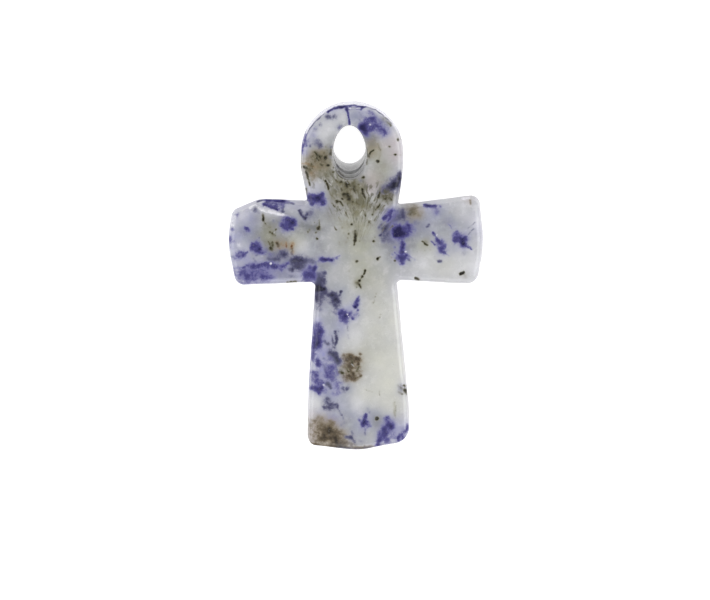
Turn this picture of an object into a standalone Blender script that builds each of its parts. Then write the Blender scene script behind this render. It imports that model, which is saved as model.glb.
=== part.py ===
"""Stone ankh pendant: one tumbled slab, lying on its back.

X runs along the arms, Y from foot to head, Z up out of the front face.
The origin is in the back face, in the middle of the outline's box.
"""

import math

import bmesh
import bpy
import numpy as np
from mathutils import Vector

MM = 0.001

# Section of the slab.
EDGE_HEIGHT = 5.65 * MM  # front face, just inside its rounded edge
CROWN = 0.35 * MM  # how much higher the front is in the middle of a limb
CROWN_REACH = 2.2 * MM  # distance from the outline over which it gets there
FRONT_ROUNDING = 0.9 * MM
BACK_ROUNDING = 0.6 * MM
ROUNDING_SEGMENTS = 4

# Outline, anticlockwise: x, y and corner radius in millimetres.
LEFT_ARM = (
    (-4.80, 7.32, 0.30),
    (-9.60, 7.54, 2.50),
    (-12.40, 6.35, 0.90),
    (-12.84, 3.20, 7.00),
    (-11.98, -0.98, 1.00),
)
SHAFT = (
    (-4.03, -0.64, 0.55),
    (-4.74, -11.50, 30.00),
    (-4.84, -17.00, 0.95),
    (0.20, -17.62, 8.00),
    (5.42, -16.62, 1.60),
    (5.38, -13.30, 12.00),
    (4.12, -0.44, 0.45),
)
RIGHT_ARM = (
    (12.20, -0.90, 1.30),
    (12.90, 3.10, 14.00),
    (12.40, 7.95, 0.85),
    (4.24, 6.93, 0.30),
)
HEAD = (
    (4.80, 10.70, 6.00),
    (4.76, 17.32, 5.00),
    (-5.42, 17.32, 5.00),
    (-5.50, 10.70, 6.00),
)
ARC_SAG = 0.012 * MM  # an arc's chords stay this close to it

# Hanging bore: height, half width, lowest y and highest y of its oval, in millimetres.
# Its lower wall leans towards the foot as it comes to the front, over two ledges of the drill.
BORE_X = -0.60
BORE = (
    (-0.50, 1.95, 10.50, 15.65),
    (0.00, 1.78, 10.70, 15.46),
    (0.40, 1.66, 10.84, 15.33),
    (2.60, 1.60, 10.74, 15.28),
    (4.40, 1.60, 10.44, 15.28),
    (4.50, 1.63, 10.24, 15.29),
    (5.10, 1.65, 10.10, 15.30),
    (5.20, 1.70, 9.92, 15.33),
    (5.60, 1.76, 9.78, 15.40),
    (6.40, 2.05, 9.30, 15.75),
)
BORE_SIDES = 40

# Flake scar on the upper edge of the left arm: the corners of the flake, in millimetres.
FLAKE_FLOOR = (
    (-6.35, 6.05, 5.80),
    (-10.70, 7.10, 5.50),
    (-9.30, 8.10, 4.25),
    (-6.20, 8.10, 4.65),
    (-4.95, 7.25, 5.55),
)
FLAKE_TOP = 7.50

FACE_CUT = 1.4 * MM  # spacing of the cuts that let the front face curve
LEVEL = 0.999  # a face whose normal points up by more than this lies level
WELD = 0.002 * MM  # points closer than this are one
STONE_COLOUR = (0.42, 0.42, 0.43, 1.0)
STONE_ROUGHNESS = 0.22


def clear_scene():
    for old in list(bpy.data.objects):
        bpy.data.objects.remove(old, do_unlink=True)


def collection(name):
    made = bpy.data.collections.new(name)
    bpy.context.scene.collection.children.link(made)
    return made


def arc_points(before, corner, after, radius):
    """Points of the arc that rounds one corner of the outline."""
    to_before = (before - corner).normalized()
    to_after = (after - corner).normalized()
    half = to_before.angle(to_after) / 2
    centre = corner + (to_before + to_after).normalized() * radius / math.sin(half)
    start = corner + to_before * radius / math.tan(half) - centre
    end = corner + to_after * radius / math.tan(half) - centre
    turn = start.angle_signed(end)
    steps = max(1, math.ceil(abs(turn) / (2 * math.acos(1 - ARC_SAG / radius))))
    angle = math.atan2(start.y, start.x)
    return [
        centre + radius * Vector((math.cos(a), math.sin(a)))
        for a in (angle - turn * step / steps for step in range(steps + 1))
    ]


def outline():
    """The rounded outline in metres, with the middle of its box at zero, and that shift."""
    corners = [
        (Vector((x, y)) * MM, radius * MM)
        for x, y, radius in LEFT_ARM + SHAFT + RIGHT_ARM + HEAD
    ]
    points = []
    for i, (corner, radius) in enumerate(corners):
        before = corners[i - 1][0]
        after = corners[(i + 1) % len(corners)][0]
        points += arc_points(before, corner, after, radius)
    points = np.array(points)
    middle = (points.min(axis=0) + points.max(axis=0)) / 2
    return points - middle, middle


def flat_slab(points):
    """The outline as a filled curve, extruded, made a mesh with its caps welded on."""
    curve = bpy.data.curves.new("outline", "CURVE")
    curve.dimensions = "2D"
    curve.fill_mode = "BOTH"
    curve.extrude = EDGE_HEIGHT / 2
    spline = curve.splines.new("POLY")
    spline.points.add(len(points) - 1)
    for point, (x, y) in zip(spline.points, points):
        point.co = (x, y, 0, 1)
    spline.use_cyclic_u = True
    drawn = bpy.data.objects.new("outline", curve)
    bpy.context.scene.collection.objects.link(drawn)
    drawn.location.z = EDGE_HEIGHT / 2
    bpy.context.view_layer.update()
    evaluated = drawn.evaluated_get(bpy.context.evaluated_depsgraph_get())
    mesh = bpy.data.meshes.new_from_object(evaluated)
    mesh.transform(drawn.matrix_world)
    bpy.data.objects.remove(drawn)
    return mesh


def round_edges(bm):
    """Caps made one face each, then a round along the front edge and a smaller one behind."""
    bmesh.ops.remove_doubles(bm, verts=bm.verts, dist=WELD)
    bmesh.ops.dissolve_limit(
        bm, angle_limit=math.radians(1), verts=bm.verts, edges=bm.edges,
        delimit={"NORMAL"},
    )
    for height, rounding in ((EDGE_HEIGHT, FRONT_ROUNDING), (0, BACK_ROUNDING)):
        rim = [
            edge for edge in bm.edges
            if all(abs(vert.co.z - height) < WELD for vert in edge.verts)
            and any(abs(face.normal.z) < 0.5 for face in edge.link_faces)
        ]
        bmesh.ops.bevel(
            bm, geom=rim, offset=rounding, offset_type="OFFSET", profile=0.5,
            segments=ROUNDING_SEGMENTS, affect="EDGES", clamp_overlap=False,
        )


def cut_front(bm, points):
    """Straight cuts across the front face, so that it can swell."""
    for axis in (0, 1):
        normal = Vector((0, 0, 0))
        normal[axis] = 1
        reach = points[:, axis].max()
        count = int(reach / FACE_CUT)
        for step in range(-count, count + 1):
            front = [face for face in bm.faces if face.normal.z > LEVEL]
            edges = [edge for face in front for edge in face.edges]
            verts = [vert for face in front for vert in face.verts]
            bmesh.ops.bisect_plane(
                bm, geom=list(dict.fromkeys(front + edges + verts)), dist=WELD,
                plane_co=normal * step * FACE_CUT, plane_no=normal,
            )


def distance_inside(places, points):
    """How far each place is from the outline."""
    start = points[None]
    along = np.roll(points, -1, axis=0)[None] - start
    offset = places[:, None] - start
    share = (offset * along).sum(axis=2) / (along ** 2).sum(axis=2).clip(1e-16)
    gap = offset - share.clip(0, 1)[..., None] * along
    return np.sqrt((gap ** 2).sum(axis=2)).min(axis=1)


def swell_front(bm, points):
    """The front rises from the outline to the middle of each limb."""
    middle = EDGE_HEIGHT / 2
    verts = [vert for vert in bm.verts if vert.co.z > middle]
    places = np.array([vert.co.xy for vert in verts])
    inside = distance_inside(places, points)
    rise = CROWN * (1 - np.exp(-((inside / CROWN_REACH) ** 2)))
    for vert, lift in zip(verts, rise):
        vert.co.z += lift * (vert.co.z - middle) / (EDGE_HEIGHT - middle)


def stone_material():
    material = bpy.data.materials.new("polished_stone")
    material.use_nodes = True
    shader = material.node_tree.nodes["Principled BSDF"]
    shader.inputs["Base Color"].default_value = STONE_COLOUR
    shader.inputs["Roughness"].default_value = STONE_ROUGHNESS
    shader.inputs["Metallic"].default_value = 0.0
    return material


def cutter(name, bm, cutters):
    bmesh.ops.recalc_face_normals(bm, faces=bm.faces)
    mesh = bpy.data.meshes.new(name)
    bm.to_mesh(mesh)
    bm.free()
    made = bpy.data.objects.new(name, mesh)
    cutters.objects.link(made)
    made.hide_render = True
    made.display_type = "WIRE"
    return made


def bore_cutter(middle, cutters):
    """A loft through the ovals of the bore, which are unlike in size and centre."""
    bm = bmesh.new()
    rings = []
    for height, half_width, low, high in BORE:
        ring = []
        for side in range(BORE_SIDES):
            angle = 2 * math.pi * side / BORE_SIDES
            x = BORE_X + half_width * math.cos(angle)
            y = (low + high) / 2 + (high - low) / 2 * math.sin(angle)
            ring.append(bm.verts.new((x * MM - middle[0], y * MM - middle[1], height * MM)))
        rings.append(ring)
    for lower, upper in zip(rings, rings[1:]):
        for side in range(BORE_SIDES):
            after = (side + 1) % BORE_SIDES
            bm.faces.new((lower[side], lower[after], upper[after], upper[side]))
    bm.faces.new(rings[0][::-1])
    bm.faces.new(rings[-1])
    return cutter("bore", bm, cutters)


def flake_cutter(middle, cutters):
    """The flake that came off the arm's edge, as the hull of its corners."""
    bm = bmesh.new()
    for x, y, z in FLAKE_FLOOR:
        for height in (z, FLAKE_TOP):
            bm.verts.new((x * MM - middle[0], y * MM - middle[1], height * MM))
    bmesh.ops.convex_hull(bm, input=bm.verts)
    return cutter("flake", bm, cutters)


def ankh(parts, cutters):
    points, middle = outline()
    bm = bmesh.new()
    bm.from_mesh(flat_slab(points))
    round_edges(bm)
    cut_front(bm, points)
    swell_front(bm, points)
    bmesh.ops.recalc_face_normals(bm, faces=bm.faces)
    mesh = bpy.data.meshes.new("ankh")
    bm.to_mesh(mesh)
    bm.free()
    mesh.shade_smooth()
    mesh.set_sharp_from_angle(angle=math.radians(35))
    mesh.materials.append(stone_material())
    stone = bpy.data.objects.new("ankh", mesh)
    parts.objects.link(stone)
    for tool in (bore_cutter(middle, cutters), flake_cutter(middle, cutters)):
        cut = stone.modifiers.new(tool.name, "BOOLEAN")
        cut.operation = "DIFFERENCE"
        cut.solver = "EXACT"
        cut.object = tool
    return stone


def main():
    clear_scene()
    parts = collection("ankh")
    cutters = collection("cutters")
    ankh(parts, cutters)


main()
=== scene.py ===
import math

import bpy
import numpy as np
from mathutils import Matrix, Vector
from mathutils.geometry import delaunay_2d_cdt


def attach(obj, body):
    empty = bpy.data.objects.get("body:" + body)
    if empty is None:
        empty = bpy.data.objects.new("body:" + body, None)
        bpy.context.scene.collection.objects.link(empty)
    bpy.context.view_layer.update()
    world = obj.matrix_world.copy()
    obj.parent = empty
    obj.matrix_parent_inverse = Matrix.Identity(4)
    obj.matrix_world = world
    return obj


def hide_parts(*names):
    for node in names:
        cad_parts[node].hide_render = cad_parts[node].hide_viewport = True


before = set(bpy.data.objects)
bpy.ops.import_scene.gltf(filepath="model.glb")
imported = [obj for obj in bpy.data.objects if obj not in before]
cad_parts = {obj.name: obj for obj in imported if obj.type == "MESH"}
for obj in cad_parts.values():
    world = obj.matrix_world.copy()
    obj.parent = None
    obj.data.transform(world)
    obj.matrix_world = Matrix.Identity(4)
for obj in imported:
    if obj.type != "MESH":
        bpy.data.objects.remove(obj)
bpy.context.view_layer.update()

# A stone ankh, one tumbled slab lying on its back, with its front face up.
# Lengths are in millimetres up to the moment a mesh is written, which is in metres.

mm = 0.001

slab = dict(
    corners=(                          # x, y and corner radius, anticlockwise
        (-4.80, 7.32, 0.30), (-9.60, 7.54, 2.50), (-12.40, 6.35, 0.90),     # left arm
        (-12.84, 3.20, 7.00), (-11.98, -0.98, 1.00),
        (-4.03, -0.64, 0.55), (-4.74, -11.50, 30.0), (-4.84, -17.00, 0.95),  # shaft
        (0.20, -17.62, 8.00), (5.42, -16.62, 1.60), (5.38, -13.30, 12.0),
        (4.12, -0.44, 0.45),
        (12.20, -0.90, 1.30), (12.90, 3.10, 14.0), (12.40, 7.95, 0.85),      # right arm
        (4.24, 6.93, 0.30),
        (4.80, 10.70, 6.00), (4.76, 17.32, 5.00), (-5.42, 17.32, 5.00),      # head
        (-5.50, 10.70, 6.00),
    ),
    pathStep=0.13,        # distance between points along the outline
    turnStep=7.0,         # and the most it turns between two of them, degrees
    edgeHeight=5.65,      # front face just inside its rounded edge
    crown=0.35,           # rise of the front from there to the middle of a limb
    crownReach=2.2,       # depth inside the outline over which it rises
    middle=2.75,          # height where the side stands out furthest
    sideRadius=30.0,      # bulge of the side
    frontRound=0.56,      # rounded edge of the front, give or take the next value
    frontVaries=0.05,
    backRound=0.60,
    sideRipple=0.018,     # unevenness left by tumbling, side, front and back
    frontRipple=0.016,
    backRipple=0.020,
    sideWaves=(23, 41),   # how often they come round the outline
    rows=(8, 10, 12),     # steps up the back rounding, the side and the front rounding
    frontStep=0.108,      # spacing of the points inside the front face, then the back
    backStep=0.32,
)

bore = dict(
    x=-0.60,
    stations=(            # height, half width, lowest y and highest y of the oval
        (0.00, 1.70, 10.84, 15.24), (0.40, 1.66, 10.98, 15.18), (2.60, 1.60, 10.82, 15.14),
        (4.36, 1.60, 10.50, 15.14), (4.52, 1.63, 10.26, 15.15), (5.06, 1.65, 10.12, 15.16),
        (5.22, 1.68, 9.94, 15.18), (5.60, 1.72, 9.82, 15.20), (6.00, 1.74, 9.78, 15.22),
    ),
    egg=0.08,             # how much narrower the head end of the oval is
    lip=0.18,             # rounded lip at both ends
    sides=150,
    rows=(6, 36, 7),      # steps up the back lip, the wall and the front lip
)

flake = dict(
    corners=(             # x, y, z of the scar's floor; the first is on the front face
        (-6.35, 6.05, 5.85), (-10.70, 7.10, 5.50), (-9.30, 8.10, 4.25),
        (-6.20, 8.10, 4.65), (-4.95, 7.25, 5.55),
    ),
    pastLow=(0.5, 0.5, 1.5),      # how far the break reaches past the box of its corners
    pastHigh=(0.0, 0.5, 1.0),
)

pits = (                  # x, y, radius and depth of the small open pits
    (2.25, 11.75, 0.15, 0.07), (-2.75, 11.45, 0.16, 0.06), (-9.15, 5.80, 0.16, 0.07),
    (-0.40, 5.35, 0.15, 0.07), (-3.70, 4.95, 0.20, 0.07), (10.62, 0.48, 0.16, 0.07),
    (2.10, -14.20, 0.19, 0.09), (5.15, -11.30, 0.18, 0.06), (-5.15, 11.20, 0.14, 0.05),
    (0.72, 8.60, 0.18, 0.05), (-0.60, 7.75, 0.16, 0.05), (0.45, -0.80, 0.16, 0.04),
)


def unit(rays):        # the same directions, of length 1
    return rays / np.linalg.norm(rays, axis=-1, keepdims=True)


# 0 up to the first limit, 1 from the second on and even between them. The limits may fall.
def ramp(value, limits):
    start, end = limits
    return np.clip((value - start) / (end - start), 0, 1)


# The outline: every corner is an arc of its radius between its two tangent points, and straight
# runs join the arcs. Gives points, outward directions and the middle of the drawn corners' box.
def stoneOutline(slab):
    corners = np.array(slab["corners"])
    spots, radii = corners[:, :2], corners[:, 2:]
    back = unit(np.roll(spots, 1, axis=0) - spots)
    ahead = unit(np.roll(spots, -1, axis=0) - spots)
    half = np.arccos((back * ahead).sum(axis=1, keepdims=True)) / 2
    centres = spots + unit(back + ahead) * radii / np.sin(half)
    starts = spots + back * radii / np.tan(half)
    ends = spots + ahead * radii / np.tan(half)
    points = []
    outward = []
    for i, radius in enumerate(radii[:, 0]):
        begin = math.atan2(*(starts[i] - centres[i])[::-1])
        finish = math.atan2(*(ends[i] - centres[i])[::-1])
        turn = (finish - begin + math.pi) % (2 * math.pi) - math.pi
        steps = abs(turn) * max(radius / slab["pathStep"], 1 / math.radians(slab["turnStep"]))
        angles = begin + turn * np.linspace(0, 1, math.ceil(steps) + 1)[:, None]
        rays = np.hstack([np.cos(angles), np.sin(angles)])
        points.append(centres[i] + radius * rays)
        outward.append(math.copysign(1, turn) * rays)
        run = starts[(i + 1) % len(starts)] - ends[i]
        pieces = math.ceil(np.hypot(*run) / slab["pathStep"])
        share = np.arange(1, pieces)[:, None] / pieces
        points.append(ends[i] + share * run)
        outward.append(np.tile(unit(np.array([run[1], -run[0]])), (pieces - 1, 1)))
    points = np.vstack(points)
    middle = (points.min(axis=0) + points.max(axis=0)) / 2
    return points - middle, np.vstack(outward), middle


# Depth of each place inside a closed line: the distance to its nearest point, negative outside,
# where the outward direction at that point leads to the place. Gives that point's number too.
# Places are taken in batches, so that the table of distances stays small.
def depthInside(places, points, outward, batch=4000):
    depth = np.empty(len(places))
    nearest = np.empty(len(places), int)
    for part in np.array_split(np.arange(len(places)), len(places) // batch + 1):
        gap = places[part, None] - points[None]
        far = np.hypot(gap[..., 0], gap[..., 1])
        found = far.argmin(axis=1)
        lead = (gap[np.arange(len(part)), found] * outward[found]).sum(axis=1)
        depth[part] = -np.sign(lead) * far.min(axis=1)
        nearest[part] = found
    return depth, nearest


def crownRise(depth, slab):        # crown * (1 - exp(-(depth / reach)^2))
    return slab["crown"] * (1 - np.exp(-((np.maximum(depth, 0) / slab["crownReach"]) ** 2)))


# The edge: a profile of three arcs that touch, back rounding, bulging side and front rounding,
# carried along the outline. The front rounding grows and shrinks slowly on its way, and two sine
# waves make the side uneven. Gives the points and the inset of the innermost one.
def edgeBand(points, outward, slab):
    way = np.linspace(0, 2 * math.pi, len(points), endpoint=False)[:, None]
    side, low, middle = slab["sideRadius"], slab["backRound"], slab["middle"]
    top = slab["frontRound"] + slab["frontVaries"] * np.sin(5 * way) * np.cos(3 * way + 1)
    backTurn = math.asin((middle - low) / (side - low))
    frontTurn = np.arcsin((slab["edgeHeight"] - middle - top) / (side - top))
    shares = [np.arange(count) / count for count in slab["rows"][:2]]
    shares.append(np.linspace(0, 1, slab["rows"][2] + 1))
    atBack = -math.pi / 2 + (math.pi / 2 - backTurn) * shares[0] + 0 * way
    atSide = -backTurn + (backTurn + frontTurn) * shares[1]
    atFront = frontTurn + (math.pi / 2 - frontTurn) * shares[2]
    inset = np.hstack([
        side - (side - low) * math.cos(backTurn) - low * np.cos(atBack),
        side - side * np.cos(atSide),
        side - (side - top) * np.cos(frontTurn) - top * np.cos(atFront),
    ])
    height = np.hstack([
        middle - (side - low) * math.sin(backTurn) + low * np.sin(atBack),
        middle + side * np.sin(atSide),
        middle + (side - top) * np.sin(frontTurn) + top * np.sin(atFront),
    ])
    slow, quick = slab["sideWaves"]
    wave = np.sin(slow * way + height) + np.sin(quick * way - 0.8 * height + 2)
    inset += slab["sideRipple"] * (1 + wave / 2)
    height += crownRise(inset, slab) * ramp(height, (middle, slab["edgeHeight"]))
    flat = points[:, None] - outward[:, None] * inset[..., None]
    return np.dstack([flat, height]), inset[:, -1]


# The bore: egg-shaped ovals through the stations, x = half width * cos * (1 - egg * sin) and
# y = middle + half height * sin, one above the other, with a quarter-round lip at each end.
def boreWall(bore, slab, points, outward, middle):
    angle = np.linspace(0, 2 * math.pi, bore["sides"], endpoint=False)[:, None]
    stations = np.array(bore["stations"])
    lip, top = bore["lip"], stations[-1, 0]
    backShare, wallShare, frontShare = [np.arange(count) / count for count in bore["rows"]]
    frontArc = np.append(frontShare, 1) * math.pi / 2
    backArc = backShare * math.pi / 2
    height = np.concatenate([
        lip * (1 - np.cos(backArc)),
        lip + (top - 2 * lip) * wallShare,
        top - lip + lip * np.sin(frontArc),
    ])
    flare = np.concatenate([
        lip * (1 - np.sin(backArc)), 0 * wallShare, lip * (1 - np.cos(frontArc)),
    ])
    width, low, high = [np.interp(height, stations[:, 0], row) for row in stations[:, 1:].T]
    x = bore["x"] + (width + flare) * np.cos(angle) * (1 - bore["egg"] * np.sin(angle))
    y = (low + high) / 2 + ((high - low) / 2 + flare) * np.sin(angle)
    ring = np.dstack([x - middle[0], y - middle[1]])
    depth, _ = depthInside(ring[:, -1], points, outward)
    rise = slab["edgeHeight"] + crownRise(depth, slab)
    return np.dstack([ring, height * rise[:, None] / top])


# A lattice of even triangles, of the given side, over the outline's box.
def lattice(points, spacing):
    low, high = points.min(axis=0), points.max(axis=0)
    rise = spacing * 0.866        # height of such a triangle
    across, up = np.meshgrid(np.arange(low[0], high[0], spacing), np.arange(low[1], high[1], rise))
    across[1::2] += spacing / 2
    return np.stack([across.ravel(), up.ravel()], axis=1)


# Triangles between two closed rings and through the places between them, none inside the hole.
def fillFace(ring, hole, places):
    flat = np.vstack([ring, hole, places])
    first = np.arange(len(ring))
    second = len(ring) + np.arange(len(hole))
    edges = np.vstack([
        np.stack([first, np.roll(first, -1)], axis=1),
        np.stack([second, np.roll(second, -1)], axis=1),
    ])
    made = delaunay_2d_cdt(flat.tolist(), edges.tolist(), [], 1, 1e-7)
    source = np.array([origins[0] for origins in made[3]])
    faces = source[np.array(made[2])]
    inHole = (faces >= len(ring)).all(axis=1) & (faces < len(ring) + len(hole)).all(axis=1)
    return faces[~inHole]


# Quads of a grid whose first direction closes on itself; turned tells which way they face.
def gridQuads(start, around, along, turned):
    index = start + np.arange(around * along).reshape(around, along)
    after = np.roll(index, -1, axis=0)
    quads = np.dstack([index[:, :-1], after[:, :-1], after[:, 1:], index[:, 1:]]).reshape(-1, 4)
    return quads[:, ::-1] if turned else quads


# The scar of the flake: a point above all the planes of its floor goes down onto the nearest one.
def breakFlake(spots, flake, middle):
    floor = np.array(flake["corners"]) - [*middle, 0]
    rays = floor[1:] - floor[0]
    normals = unit(np.cross(rays[1:], rays[:-1]))
    above = (spots - floor[0]) @ normals.T
    low, high = floor.min(axis=0) - flake["pastLow"], floor.max(axis=0) + flake["pastHigh"]
    near = ((spots > low) & (spots < high)).all(axis=1)
    inside = near & (above > 0).all(axis=1)
    plane = above.argmin(axis=1)
    spots[inside] -= (above.min(axis=1)[:, None] * normals[plane])[inside]


# Slow unevenness, up to 1: three crossing sine waves.
def ripple(x, y):
    return (np.sin(0.9 * x + 0.5 * y) + np.sin(1.3 * y - 0.6 * x + 2) + np.sin(0.4 * x * y / 9)) / 3


# The closed stone: the edge's band, the bore's wall and two faces filled between them. The front
# rises by the crown. Then the flake breaks off, both faces get their ripple and the pits sink in,
# by depth * exp(-(distance / radius)^2).
def stoneSurface(slab, bore, flake, pits):
    points, outward, middle = stoneOutline(slab)
    band, ringInset = edgeBand(points, outward, slab)
    wall = boreWall(bore, slab, points, outward, middle)
    around, rows, _ = band.shape
    sides, levels, _ = wall.shape
    bandCount = around * rows
    spots = [band.reshape(-1, 3), wall.reshape(-1, 3)]
    total = bandCount + sides * levels
    faces = [
        gridQuads(0, around, rows, False),
        gridQuads(bandCount, sides, levels, True),
    ]
    for level, spacing in ((-1, slab["frontStep"]), (0, slab["backStep"])):
        places = lattice(points, spacing)
        depth, nearest = depthInside(places, points, outward)
        hole = wall[:, level, :2]
        holeOut = unit(hole - hole.mean(axis=0))
        inHole, _ = depthInside(places, hole, holeOut)
        clear = (depth > ringInset[nearest] + spacing / 2) & (inHole < -0.8 * spacing)
        places, depth = places[clear], depth[clear]
        height = slab["edgeHeight"] + crownRise(depth, slab) if level else 0 * depth
        spots.append(np.column_stack([places, height]))
        numbers = np.concatenate([
            np.arange(around) * rows + level % rows,
            bandCount + np.arange(sides) * levels + level % levels,
            total + np.arange(len(places)),
        ])
        triangles = numbers[fillFace(band[:, level, :2], hole, places)]
        faces.append(triangles if level else triangles[:, ::-1])
        total += len(places)
    spots = np.vstack(spots)
    breakFlake(spots, flake, middle)
    x, y, z = spots.T
    upper = ramp(z, (slab["middle"], slab["edgeHeight"]))
    lower = ramp(z, (slab["middle"], 0))
    z += slab["frontRipple"] * ripple(x, y) * upper
    z += slab["backRipple"] * (1 + ripple(y, x)) * lower
    for pitX, pitY, radius, depth in pits:
        z -= depth * np.exp(-((x - pitX) ** 2 + (y - pitY) ** 2) / radius ** 2) * upper
    return spots, faces, points, outward


# Puts points, given in millimetres, and faces of three or four corners into a new object.
def makeObject(name, spots, faces):
    mesh = bpy.data.meshes.new(name)
    loops = np.concatenate([part.ravel() for part in faces])
    sizes = np.concatenate([np.full(len(part), part.shape[1]) for part in faces])
    mesh.vertices.add(len(spots))
    mesh.vertices.foreach_set("co", (spots * mm).ravel())
    mesh.loops.add(len(loops))
    mesh.loops.foreach_set("vertex_index", loops)
    mesh.polygons.add(len(sizes))
    mesh.polygons.foreach_set("loop_start", np.cumsum(sizes) - sizes)
    mesh.update(calc_edges=True)
    mesh.validate()
    mesh.shade_smooth()
    made = bpy.data.objects.new(name, mesh)
    bpy.context.scene.collection.objects.link(made)
    return made


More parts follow.
